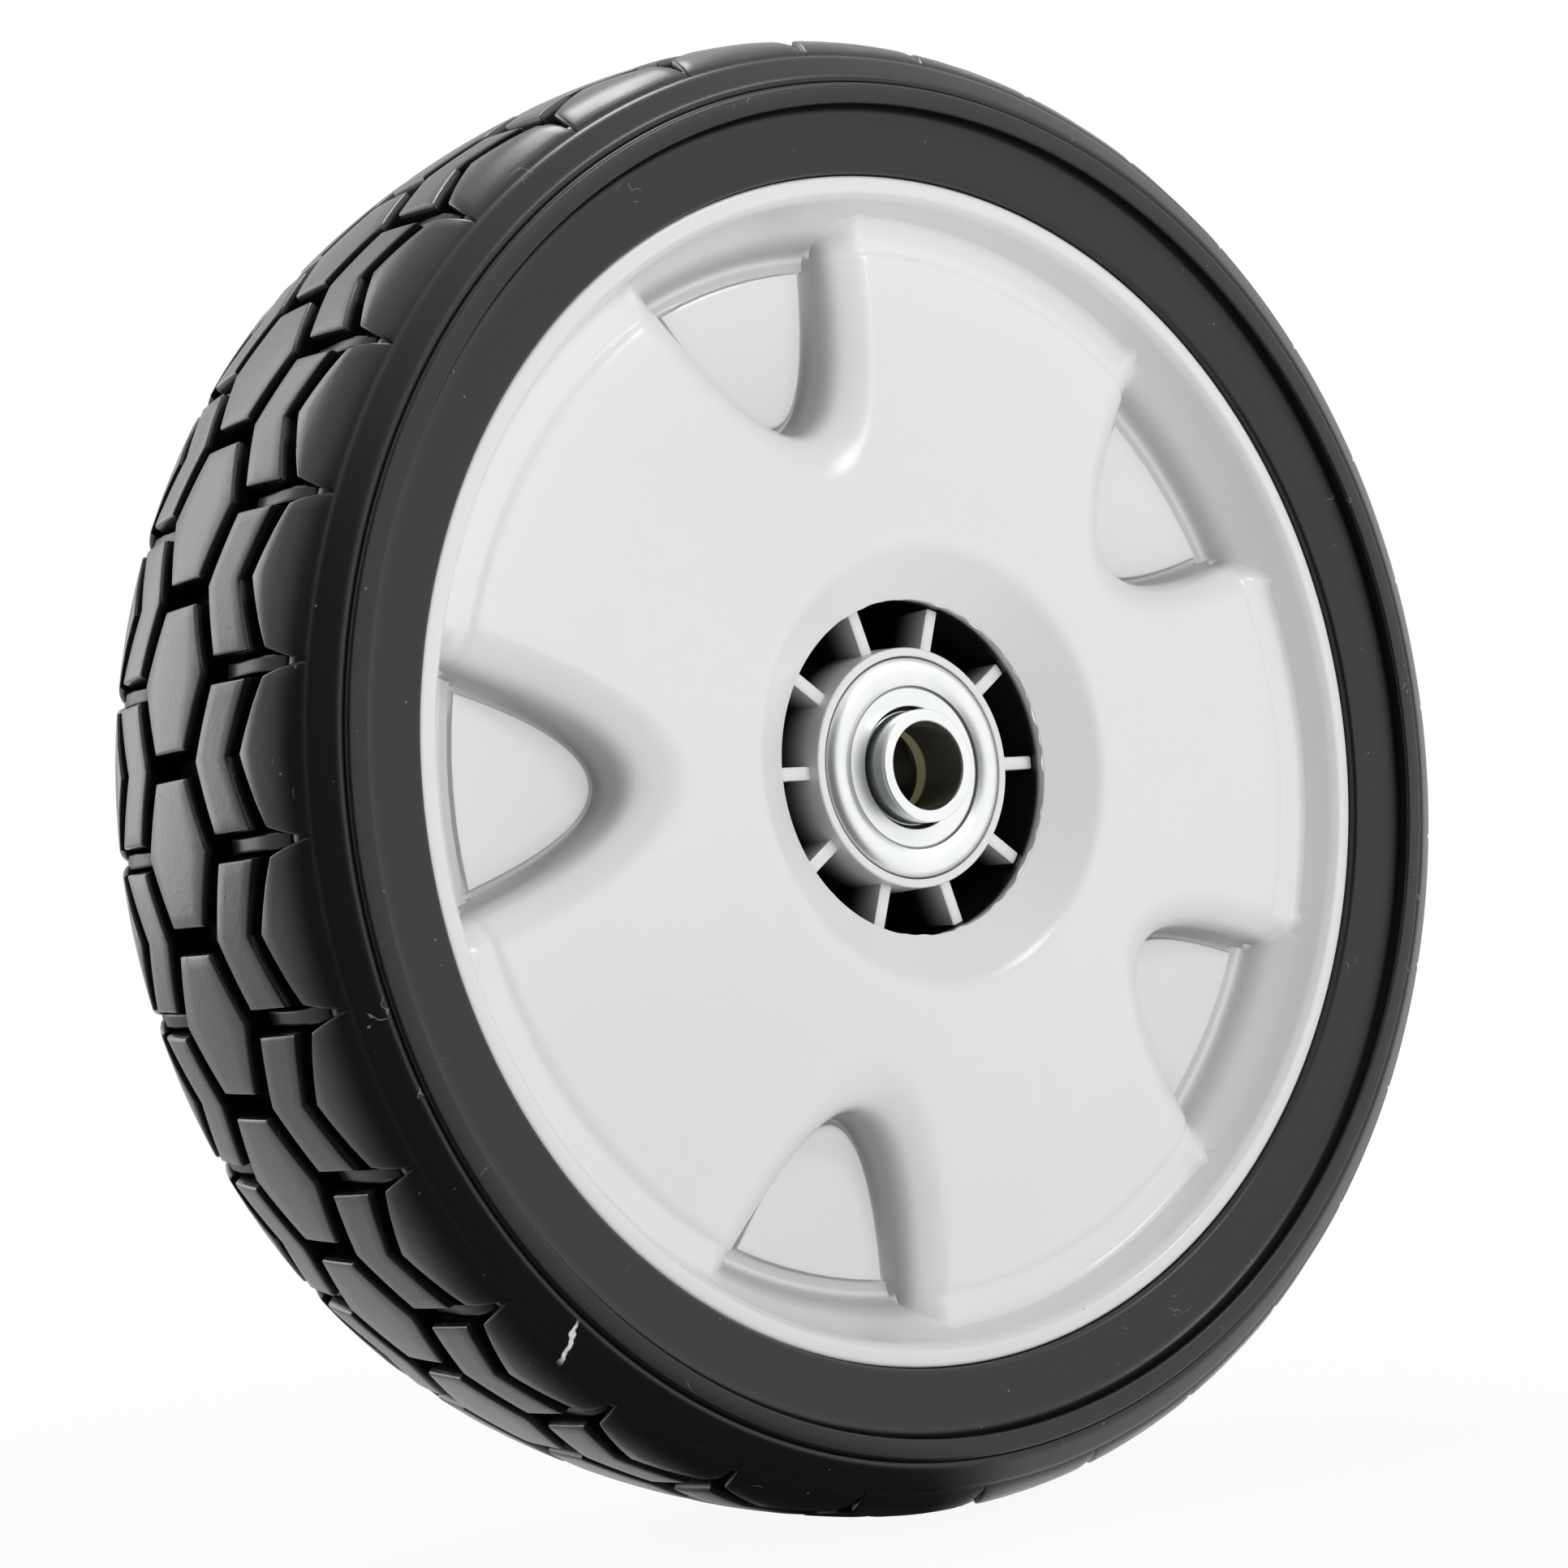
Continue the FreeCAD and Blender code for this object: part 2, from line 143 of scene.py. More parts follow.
class Value:
    """A shader socket whose arithmetic adds Math nodes to its tree."""

    def __init__(self, sheet, socket):
        self.sheet = sheet
        self.socket = socket

    def _math(self, operation, first, second):
        return self.sheet.node("ShaderNodeMath", {"operation": operation}, {0: first, 1: second})

    def __add__(self, other):
        return self._math("ADD", self, other)

    def __radd__(self, other):
        return self._math("ADD", other, self)

    def __sub__(self, other):
        return self._math("SUBTRACT", self, other)

    def __rsub__(self, other):
        return self._math("SUBTRACT", other, self)

    def __mul__(self, other):
        return self._math("MULTIPLY", self, other)

    def __rmul__(self, other):
        return self._math("MULTIPLY", other, self)

    def __truediv__(self, other):
        return self._math("DIVIDE", self, other)

    def __rtruediv__(self, other):
        return self._math("DIVIDE", other, self)

    def __pow__(self, other):
        return self._math("POWER", self, other)

    def __rpow__(self, other):
        return self._math("POWER", other, self)

    def most(self, other):
        return self._math("MAXIMUM", self, other)

    def distance(self):
        """How far the value lies from 0."""
        return self.sheet.node("ShaderNodeMath", {"operation": "ABSOLUTE"}, {0: self})

    def rise(self, low, high):
        """0 below low and 1 above high, with a smooth climb between, or a fall where high is the lower."""
        return self.sheet.node("ShaderNodeMapRange", {"interpolation_type": "SMOOTHSTEP"},
                               {"Value": self, "From Min": low, "From Max": high})

    def between(self, start, full, fade, end):
        """1 from full to fade, falling to 0 at start and at end."""
        return self.rise(start, full) * self.rise(end, fade)


class Sheet:
    """The node tree of a material or a world, with its nodes made by one method."""

    def __init__(self, owner, **constants):
        owner.use_nodes = True
        self.owner = owner
        self.tree = owner.node_tree
        self.output = next(node for node in self.tree.nodes if node.type.startswith("OUTPUT"))
        self.shown = self.output.inputs["Surface"].links[0].from_socket
        self.surface = self.shown.node
        for socket, value in constants.items():
            self.surface.inputs[socket.replace("_", " ")].default_value = value

    def node(self, kind, settings=None, sockets=None, output=0):
        """One output of a new node, after its settings and then its sockets are set or linked."""
        made = self.tree.nodes.new(kind)
        for key, value in (settings or {}).items():
            setattr(made, key, value)
        for key, value in (sockets or {}).items():
            self.feed(made.inputs[key], value)
        return Value(self, made.outputs[output])

    def feed(self, socket, value):
        if isinstance(value, Value):
            self.tree.links.new(value.socket, socket)
        else:
            socket.default_value = value

    def set(self, socket, value):
        self.feed(self.surface.inputs[socket], value)

    def split(self, vector):
        """The three parts of a vector."""
        parts = self.node("ShaderNodeSeparateXYZ", None, {0: vector}).socket.node.outputs
        return [Value(self, part) for part in parts]

    def place(self):
        """The point on the piece: a vector in metres, then x, y and z in millimetres."""
        vector = self.node("ShaderNodeTexCoord", output="Object")
        return (vector, *[part / MM for part in self.split(vector)])

    def noise(self, vector, scale, detail=2.0):
        return self.node("ShaderNodeTexNoise", None, {"Vector": vector, "Scale": scale, "Detail": detail})

    def rings(self, radius, y, scale):
        """Noise that is the same all the way round the axle."""
        across = self.node("ShaderNodeCombineXYZ", None, {0: radius, 1: y})
        return self.noise(across, scale, detail=3.0)

    def cells(self, vector, scale):
        """The distance from the middle of the nearest of many scattered cells."""
        return self.node("ShaderNodeTexVoronoi", None, {"Vector": vector, "Scale": scale})

    def dot(self, first, second):
        return self.node("ShaderNodeVectorMath", {"operation": "DOT_PRODUCT"}, {0: first, 1: second}, "Value")

    def blend(self, mask, first, second):
        """first where the mask is 0 and second where it is 1, for colours."""
        sockets = {0: mask, MIX_FIRST: colour(first), MIX_SECOND: colour(second)}
        return self.node("ShaderNodeMix", {"data_type": "RGBA"}, sockets, MIX_RESULT)

    def mix(self, mask, shader):
        """Shows another shader where the mask is 1."""
        mixed = self.node("ShaderNodeMixShader", None, {0: mask, 1: Value(self, self.shown), 2: shader})
        self.shown = mixed.socket
        self.tree.links.new(self.shown, self.output.inputs["Surface"])

    def bump(self, height, distance, strength=1.0):
        self.set("Normal", self.node("ShaderNodeBump", None,
                                     {"Height": height, "Distance": distance, "Strength": strength}))


def new_finish(name, **constants):
    """The sheet of a new material, with constants set on its own shader."""
    return Sheet(bpy.data.materials.new(name), **constants)


def colour(value):
    """A colour with the alpha that a colour socket needs, or a link as it is."""
    if isinstance(value, Value):
        return value
    return (*value, 1.0) if len(value) == 3 else value


def grey(level):
    return (level, level, level)


def long_side(first, second):
    """The long side of a right triangle, for shader values."""
    return (first * first + second * second) ** 0.5


# Mesh helpers

def spot(angle, radius, forward):
    """A point in metres, from an angle in radians round the axle and two lengths in millimetres."""
    return Vector((radius * math.cos(angle), -forward, radius * math.sin(angle))) * MM


class Moulding:
    """Points and faces gathered for one piece."""

    def __init__(self):
        self.points = []
        self.faces = []

    def add(self, angle, radius, forward):
        self.points.append(spot(angle, radius, forward))
        return len(self.points) - 1

    def strip(self, first, second, closed=False):
        """Quads between two rows of the same length."""
        count = len(first)
        for index in range(count if closed else count - 1):
            after = (index + 1) % count
            self.faces.append((first[index], first[after], second[after], second[index]))

    def strips(self, rows, closed=False):
        """Quads between each row and the next."""
        for row, following in zip(rows, rows[1:]):
            self.strip(row, following, closed)

    def lathe(self, outline, segments=WHEEL_SEGMENTS, closed=True):
        """An outline of (radius, forward) points turned about the axle."""
        steps = [math.tau * index / segments for index in range(segments)]
        rows = [[self.add(angle, radius, forward) for angle in steps] for radius, forward in outline]
        self.strips(rows + rows[:1] if closed else rows, closed=True)

    def finish(self, name, body, material, slot, node):
        """Makes the piece, smooths it, and puts it in place of the solid."""
        mesh = bpy.data.meshes.new(name)
        mesh.from_pydata(self.points, [], self.faces)
        tidy = bmesh.new()
        tidy.from_mesh(mesh)
        bmesh.ops.recalc_face_normals(tidy, faces=tidy.faces)
        tidy.to_mesh(mesh)
        tidy.free()
        mesh.shade_smooth()
        mesh.set_sharp_from_angle(angle=SHARP_ANGLE)
        mesh.materials.append(material)
        piece = bpy.data.objects.new(name, mesh)
        bpy.context.scene.collection.objects.link(piece)
        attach(piece, body)
        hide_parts(node)


def rounded(corners, steps=4):
    """The (radius, forward) points of an outline, with each corner's rounding drawn as a small arc."""
    outline = []
    count = len(corners)
    for index, (radius, forward, rounding) in enumerate(corners):
        here = Vector((radius, forward))
        if rounding == 0:
            outline.append(tuple(here))
            continue
        back = Vector(corners[index - 1][:2]) - here
        ahead = Vector(corners[(index + 1) % count][:2]) - here
        start = here + back.normalized() * min(rounding, back.length / 2)
        end = here + ahead.normalized() * min(rounding, ahead.length / 2)
        for step in range(steps + 1):
            part = step / steps
            point = start * (1 - part) ** 2 + here * 2 * part * (1 - part) + end * part ** 2
            outline.append(tuple(point))
    return outline


def both_sides(corners):
    """The corners of the front half, then the same corners on the rear half."""
    return corners + [(radius, -forward, rounding) for radius, forward, rounding in reversed(corners)]


def clamped(value):
    return min(max(value, 0.0), 1.0)


def smooth_step(value, low, high):
    part = clamped((value - low) / (high - low))
    return part * part * (3 - 2 * part)


def soft_least(first, second, width):
    """The lesser of two heights, with the corner between them rounded over a width."""
    part = max(width - abs(first - second), 0.0) / width
    return min(first, second) - part * part * width / 4


def soft_most(first, second, width):
    return -soft_least(-first, -second, width)


# Tyre

# Tread
CROWN_DROP = 1.3
BLOCK_GAP = 3.3
HEX_POINT = 8.2
HEX_END = 4.1
CHEVRON_POINT = 7.0
CHEVRON_CORNER = 10.6
CHEVRON_NOTCH = 14.2
CHEVRON_END = 18.3
SHOULDER_POINT = 17.0
SHOULDER_CORNER = 21.1
SHOULDER_CENTRE = (94.6, 15.0)
SHOULDER_AXES = (5.85, 11.1)
SHOULDER_SINK = 1.5
NOTCH_TIP = 25.35
NOTCH_RUNOUT = 0.3
RIDGE_HEIGHT = 1.8
RIDGE_COVER = 1.0
RIDGE_HALF = 1.1
RIDGE_END = 23.6
NUB_START = 24.3
NUB_END = 25.3
NUB_HALF = 0.8
NUB_DROP = 0.6
WALL_FLARE = 0.7
SINK = 0.7
EDGE_STEPS = (0.0, 0.12, 0.4, 1.0)
ACROSS_STEPS = 6
ALONG_STEPS = 3

# Sidewall
SEAT_RADIUS = 78.05
LIP_SEAT = 80.55
BEAD_BASE = 21.3
BEAD_FACE = 24.8
RING_INNER = 89.2
RING_FOOT = 25.7
RING_OUTER = 92.0
RING_LINE = 27.35
RING_ROLL = 27.6
STEP_RADIUS = 95.8
STEP_FACE = 26.05
STEP_RISE = 0.45
STEP_FOOT = 25.45
TREAD_EDGE = 24.5

# The pale mark on the lower sidewall
MARK_ANGLE = math.radians(227)
MARK_RADIUS = 95.2
MARK_LEAN = 0.55
MARK_WANDER = 2.0
MARK_COLOUR = grey(0.75)


def crown(forward):
    """Radius of the tread's tops."""
    return TYRE_RADIUS - CROWN_DROP * (forward / CHEVRON_END) ** 2


def shoulder(forward):
    """Radius of the rounded shoulder, a quarter of an ellipse."""
    part = (abs(forward) - SHOULDER_CENTRE[1]) / SHOULDER_AXES[1]
    return SHOULDER_CENTRE[0] + SHOULDER_AXES[0] * math.sqrt(max(1 - part * part, 0.0))


def near_edges(low, high, edge, inner):
    """Positions from low to high, close together within an edge's rounding at each end."""
    begin = [low + edge * step for step in EDGE_STEPS]
    finish = [high - edge * step for step in reversed(EDGE_STEPS)]
    gap = (finish[0] - begin[-1]) / (inner + 1)
    return begin + [begin[-1] + gap * (index + 1) for index in range(inner)] + finish


def block_top(half, near, far, top, edge, width):
    """A grid of (across, forward, radius) over a block's top, falling away at its rounded edge."""
    grid = []
    for across in near_edges(-half, half, edge, 2 * ACROSS_STEPS - 1):
        low, high = near(across), far(across)
        column = []
        for forward in near_edges(low, high, edge, ALONG_STEPS):
            inside = min(half - abs(across), forward - low, high - forward)
            missing = max(edge - inside, 0.0)
            drop = edge - math.sqrt(max(edge * edge - missing * missing, 0.0))
            column.append((across * width(forward), forward, top(forward) - drop))
        grid.append(column)
    return grid


def border_of(columns, rows):
    """The (column, row) places round the border of a grid, in order."""
    last_column = columns - 1
    last_row = rows - 1
    border = [(0, row) for row in range(last_row)]
    border += [(column, last_row) for column in range(last_column)]
    border += [(last_column, row) for row in range(last_row, 0, -1)]
    border += [(column, 0) for column in range(last_column, 0, -1)]
    return border


def even_width(forward):
    return 1.0


def add_block(moulding, angle, half, near, far, top, foot, edge, width=even_width):
    """One tread block. near and far give its forward limits at a distance across, top gives its radius at a
    forward place, and width spreads it there. Its walls flare towards a foot below the groove floor."""
    grid = block_top(half, near, far, top, edge, width)
    rows = [[moulding.add(angle + across / TYRE_RADIUS, radius, forward)
             for across, forward, radius in column] for column in grid]
    moulding.strips(rows)
    border = border_of(len(grid), len(grid[0]))
    walk = [Vector(grid[column][row][:2]) for column, row in border]
    foot_row = []
    for index, here in enumerate(walk):
        along = (walk[(index + 1) % len(walk)] - walk[index - 1]).normalized()
        across = here.x - along.y * WALL_FLARE
        foot_row.append(moulding.add(angle + across / TYRE_RADIUS, foot, here.y + along.x * WALL_FLARE))
    moulding.strip([rows[column][row] for column, row in border], foot_row, closed=True)
    moulding.faces.append(tuple(foot_row))


def slope(start, end, half):
    """A forward limit that runs straight from the middle of a block to its ends, the same on both sides."""
    return lambda across: start + (end - start) * abs(across) / half


def level(forward):
    """A forward limit that is the same all the way across a block."""
    return lambda across: forward


def mirrored(near, far):
    """The same pair of limits on the rear half."""
    return (lambda across: -far(across)), (lambda across: -near(across))


def add_tread(moulding, settings):
    """All the blocks of the tread, and the low ridges that keep stones out of the gaps between them."""
    pitch = math.tau / settings.pitches
    half_pitch = TYRE_RADIUS * pitch / 2
    half = half_pitch - BLOCK_GAP / 2
    edge = settings.edge / MM
    floor = TYRE_RADIUS - settings.groove / MM
    foot = floor - SINK
    deep_foot = foot - SHOULDER_SINK

    def notch_width(forward):
        part = clamped((abs(forward) - SHOULDER_CORNER) / (NOTCH_TIP - SHOULDER_CORNER))
        return 1 + (half_pitch / half - 1) * part

    def ridge_top(forward):
        return min(floor + RIDGE_HEIGHT, shoulder(forward) - RIDGE_COVER)

    def nub_top(forward):
        return shoulder(forward) - NUB_DROP

    hexagon = slope(-HEX_POINT, -HEX_END, half), slope(HEX_POINT, HEX_END, half)
    chevron = slope(CHEVRON_POINT, CHEVRON_CORNER, half), slope(CHEVRON_NOTCH, CHEVRON_END, half)
    flank = slope(SHOULDER_POINT, SHOULDER_CORNER, half), level(NOTCH_TIP + NOTCH_RUNOUT)
    centre_ridge = level(-HEX_END), level(HEX_END)
    side_ridge = level(CHEVRON_CORNER), level(RIDGE_END)
    nub = level(NUB_START), level(NUB_END)
    for index in range(settings.pitches):
        at = settings.phase + pitch * index
        between = at + pitch / 2
        add_block(moulding, at, half, *hexagon, crown, foot, edge)
        add_block(moulding, between, RIDGE_HALF, *centre_ridge, ridge_top, foot, edge)
        for side in (chevron, mirrored(*chevron)):
            add_block(moulding, between, half, *side, crown, foot, edge)
        for side in (side_ridge, mirrored(*side_ridge)):
            add_block(moulding, at, RIDGE_HALF, *side, ridge_top, foot, edge)
        for side in (nub, mirrored(*nub)):
            add_block(moulding, at, NUB_HALF, *side, nub_top, deep_foot, edge / 2)
        for side in (flank, mirrored(*flank)):
            add_block(moulding, between, half, *side, shoulder, deep_foot, edge, notch_width)


def sidewall(floor):
    """Corners of the front sidewall, from the bead over the ring and a small step to the groove floor."""
    bead = [(SEAT_RADIUS, BEAD_BASE, 0.3), (LIP_SEAT, BEAD_BASE, 0.3), (LIP_SEAT, BEAD_FACE, 0.7)]
    ring = [(RING_INNER - 0.3, RING_FOOT, 2.8), (RING_INNER, TYRE_SIDE, 0.3)]
    ring += [(RING_OUTER - 0.2, TYRE_SIDE, 0.35), (RING_OUTER + 0.1, RING_LINE, 0.1)]
    roll = [(RING_OUTER + 0.8, RING_ROLL, 0.7)]
    step = [(STEP_RADIUS, STEP_FACE, 0.5), (STEP_RADIUS + STEP_RISE, STEP_FOOT, 0.2)]
    return bead + ring + roll + step + [(floor, TREAD_EDGE, 0.4)]


def rubber_finish(settings):
    """Satin black rubber: grained block tops, painted shade in the grooves and the ring's creases, flow
    rings, dust, hairs and one pale mark.
    """
    sheet = new_finish("tyre_rubber", Specular_IOR_Level=0.56, Specular_Tint=(0.95, 0.94, 1.0, 1.0))
    vector, x, y, z = sheet.place()
    radius = long_side(x, z)
    aside = y.distance()

    # Depth below the tops of the tread, from which come the tops, the block edges and the painted shade in
    # the grooves
    crown_line = TYRE_RADIUS - y * y * (CROWN_DROP / CHEVRON_END ** 2)
    part = (aside - SHOULDER_CENTRE[1]).most(0.0) / SHOULDER_AXES[1]
    shoulder_line = SHOULDER_CENTRE[0] + (1 - part * part).most(0.0) ** 0.5 * SHOULDER_AXES[0]
    outer = aside.rise(SHOULDER_CENTRE[1], SHOULDER_POINT)
    depth = crown_line * (1 - outer) + shoulder_line * outer - radius
    in_tread = aside.rise(NOTCH_TIP, NOTCH_TIP - NOTCH_RUNOUT) * radius.rise(94.0, 95.5)
    top = depth.rise(0.7, 0.1) * (1 - outer)
    edge = depth.between(0.05, 0.2, 0.4, 0.7) * in_tread
    outward = sheet.node("ShaderNodeCombineXYZ", None, {0: x / radius, 2: z / radius})
    facing = sheet.dot(sheet.node("ShaderNodeTexCoord", output="Normal"), outward)
    ridge = facing.rise(0.6, 0.9) * depth.rise(3.2, 2.8)
    groove = depth.rise(0.45, 1.0) * in_tread * (1 - ridge * 0.6)

    # Painted shade: dark lines at both feet of the ring
    inner_foot = radius.between(RING_INNER - 1.0, RING_INNER - 0.4, RING_INNER, RING_INNER + 0.15)
    outer_foot = radius.between(RING_OUTER - 0.1, RING_OUTER, RING_OUTER + 0.2, RING_OUTER + 0.3)
    crease = inner_foot.most(outer_foot) * aside.rise(TYRE_SIDE - 0.35, TYRE_SIDE - 0.55)

    # Dust and hairs
    dots = sheet.cells(vector, 330.0).rise(0.07, 0.03) * sheet.noise(vector, 47.0).rise(0.44, 0.56)
    strands = (sheet.noise(vector, 270.0) - 0.5).distance().rise(0.010, 0.004)
    hairs = strands * sheet.noise(vector, 120.0).rise(0.68, 0.71)
    dust = dots.most(hairs)

    # The mark, a wandering line along the radius
    sideways = x * math.sin(MARK_ANGLE) - z * math.cos(MARK_ANGLE)
    wander = (radius - MARK_RADIUS) * MARK_LEAN + (sheet.noise(vector, 520.0) - 0.5) * MARK_WANDER
    mark = (sideways + wander).distance().rise(0.42, 0.2) * radius.between(92.6, 93.6, 96.4, 97.6)
    mark = mark * y.rise(-22.0, -24.0) * x.rise(0.0, -1.0)

    grain = sheet.noise(vector, 2600.0, detail=3.0)
    pits = sheet.noise(vector, 900.0, detail=4.0)
    cloud = sheet.noise(vector, 60.0, detail=4.0)
    flow = sheet.rings(radius, y, 0.9)
    worn = sheet.blend(top * (0.45 + cloud * 0.5), settings.rubber, settings.scuffed)
    dusty = sheet.blend(dust * (1 - top) * 0.7, worn, settings.dust)
    sheet.set("Base Color", sheet.blend(mark, dusty, MARK_COLOUR))
    sheet.set("Roughness", 0.26 + top * 0.05 + cloud * 0.08 + dust * 0.3 - edge * 0.12)
    sheet.bump(grain * (0.2 + top * 0.2) + pits * top * 0.5 + flow * (1 - top) * 0.25, 0.06 * MM)
    # Painted shade: a near-black diffuse mixed over the grooves and the ring's creases
    black = sheet.node("ShaderNodeBsdfDiffuse", None, {"Color": colour(grey(0.002))})
    sheet.mix(groove.most(crease) * 0.85, black)
    return sheet.owner


class WHEEL_OT_tyre(bpy.types.Operator):
    """Make the solid rubber tyre with its tread"""
    bl_idname = "wheel.tyre"
    bl_label = "Tyre"

    def execute(self, context):
        settings = context.scene.wheel_tyre
        moulding = Moulding()
        moulding.lathe(rounded(both_sides(sidewall(TYRE_RADIUS - settings.groove / MM))))
        add_tread(moulding, settings)
        moulding.finish("tyre_rubber", "wheel", rubber_finish(settings), "tyre_rubber", "tyre")
        return {"FINISHED"}


# Rim

# Disc, dish and ledge
OPENING_RADIUS = 23.2
OPENING_FACE = 18.0
DISH_RADIUS = 30.6
DISH_FACE = 23.3
DISH_EASE = 1.2
DISH_STEPS = 24
DISH_THICKNESS = 2.4
DISC_RADIUS = 71.0
DISC_FACE = 18.4
LEDGE_STEP = 0.5
LEDGE_START = 0.2
LEDGE_END = 0.9
VALLEY_RADIUS = 76.9
COVE_START = 75.0
COVE_RISE = 1.8
LATHE_RADIUS = 33.5
SHELL = 3.0
DISC_SLOPE = (DISH_FACE - DISC_FACE) / (DISC_RADIUS - DISH_RADIUS)
DISH_SLOPE = (DISH_FACE - OPENING_FACE) / (DISH_RADIUS - OPENING_RADIUS)
FLASH_LENGTH = 0.4
FLASH_LEAST = 0.04
FLASH_ROOT = 0.3
FLASH_WAVES = ((7, 0.0), (19, 1.3), (43, 0.4))
FLASH_STEPS = 720

# Pockets
FLOOR_FACE = 11.8
PAD_HEIGHT = 0.8
PAD_END = 69.6
WALL_FOOT = 0.9
RAMP_START = 70.3
RAMP_TOP = 20.4
RAMP_DIP = 0.4
RAMP_CURVE = 1.7
RAMP_EASE = 0.8
POCKET_NOSE = 45.0
EAR_HEIGHT = 0.9
EAR_RADIUS = 74.5
EAR_NOSE = 43.4
EAR_WIDTH = 3.3
NOSE_STEPS = 14
FLANK_STEPS = 64
NOSE_SHARE = 0.36
DISC_ROWS = 8
CHORD_ROWS = 6

# Outlines of a pocket from its outer slope down to its raised floor: (nose, bluntness, height).
# A height up to 0 is measured from the disc's face, and one above 0 from the middle plane.
FRONT_LEVELS = (
    (40.2, 3.85, 0.0), (41.6, 3.78, -0.12), (43.2, 3.68, -0.5), (44.9, 3.56, -1.1), (46.3, 3.45, -1.7),
    (47.1, 3.37, -2.2), (47.6, 3.30, -2.8), (47.95, 3.24, -3.6), (48.25, 3.18, -5.0), (48.5, 3.12, -6.5),
    (48.7, 3.05, FLOOR_FACE + 0.6), (48.95, 2.98, FLOOR_FACE - 0.1), (49.2, 2.92, FLOOR_FACE - 0.25),
    (49.5, 2.88, FLOOR_FACE - 0.1), (49.75, 2.86, FLOOR_FACE + PAD_HEIGHT * 0.5),
    (49.95, 2.84, FLOOR_FACE + PAD_HEIGHT * 0.85), (50.3, 2.81, FLOOR_FACE + PAD_HEIGHT),
)
# The same for the wall behind a pocket.
REAR_LEVELS = (
    (44.4, 3.95, 0.0), (45.2, 3.85, -0.6), (46.0, 3.6, FLOOR_FACE - 1.4), (46.6, 3.4, FLOOR_FACE - 2.4),
)

# Barrel and lips
RIM_RADIUS = 80.5
BARREL_OUTER = 78.0
BARREL = 75.0
LIP_FOOT = 75.9
LIP_ROOT = 0.6
LIP_TUCK = 1.2
LIP_WALL = 77.4
LIP_CREST = 78.3
LIP_DRAFT = 0.05
LIP_ROLL = 1.2
LIP_THICKNESS = 2.4
REAR_LIP = 77.6
SHELL_LAP = 0.2

# Hub, boss and ribs
HUB_INNER = 24.0
HUB_OUTER = 26.4
HUB_FACE = 16.5
HUB_REAR = -10.0
BOSS_BORE = 12.5
BOSS_SEAT = 15.4
BOSS_STOP = 10.3
BOSS_FACE = 17.3
BOSS_TOP = 16.6
BOSS_ROOT = 17.6
WEB_HALF = 1.0
WEB_RADIUS = 25.0
RIB_START = 16.2
RIB_BEND = 23.6
RIB_END = 75.8
RIB_FACE = 15.4
RIB_EASE = 0.25
WELL_INNER = 16.4
WELL_OUTER = 24.2


def disc_face(radius):
    """How far forward the disc stands, from the hub opening to the cove below the lip."""
    flat = DISH_FACE - DISC_SLOPE * (radius - DISH_RADIUS)
    dish = OPENING_FACE + DISH_SLOPE * (radius - OPENING_RADIUS)
    ledge = DISC_FACE - LEDGE_STEP
    step = smooth_step(radius, DISC_RADIUS - LEDGE_START, DISC_RADIUS + LEDGE_END)
    cove = COVE_RISE * (max(radius - COVE_START, 0.0) / (VALLEY_RADIUS - COVE_START)) ** 2
    return soft_least(flat, dish, DISH_EASE) * (1 - step) + ledge * step + cove


def pocket_curve(nose, bluntness, end, share):
    """(angle, radius) of a point on a pocket's outline, a parabola, at a share of its way from the nose."""
    squared = bluntness ** 2
    reach = (math.sqrt(squared ** 2 + 4 * (end ** 2 + squared * nose)) - squared) / 2
    across = share * bluntness * math.sqrt(reach - nose)
    along = nose + (across / bluntness) ** 2
    return math.atan2(across, along), math.hypot(along, across)


def shares():
    """Shares along an outline from one end to the other, with even steps of radius on the flanks."""
    nose = [NOSE_SHARE * index / NOSE_STEPS for index in range(NOSE_STEPS)]
    rest = (1 - NOSE_SHARE ** 2) / FLANK_STEPS
    flank = [math.sqrt(NOSE_SHARE ** 2 + rest * index) for index in range(FLANK_STEPS + 1)]
    half = nose + flank
    return [-share for share in reversed(half[1:])] + half


def sector_border(span, end, nose, bluntness):
    """(angle, radius) along a sector's border for each share: the dish's edge, then both straight sides."""
    bend = pocket_curve(nose, bluntness, end, NOSE_SHARE)[1]
    border = []
    for share in shares():
        if abs(share) <= NOSE_SHARE:
            border.append((span / 2 * share / NOSE_SHARE, LATHE_RADIUS))
        else:
            part = (pocket_curve(nose, bluntness, end, abs(share))[1] - bend) / (end - bend)
            border.append((math.copysign(span / 2, share), LATHE_RADIUS + (end - LATHE_RADIUS) * part))
    return border


def sector_grid(span, end, levels, surface):
    """Rows of (angle, radius, forward) from a sector's border to the pocket's outline and down its wall."""
    outlines = [[pocket_curve(nose, bluntness, end, share) for share in shares()]
                for nose, bluntness, _ in levels]
    border = sector_border(span, end, *levels[0][:2])
    grid = []
    for index in range(DISC_ROWS):
        part = index / DISC_ROWS
        row = []
        for (border_angle, border_radius), (angle, radius) in zip(border, outlines[0]):
            place = border_radius + (radius - border_radius) * part
            row.append((border_angle + (angle - border_angle) * part, place, surface(place, 0.0, 0.0)))
        grid.append(row)
    for outline, (nose, _, height) in zip(outlines, levels):
        grid.append([(angle, radius, surface(radius, nose, height)) for angle, radius in outline])
    return grid


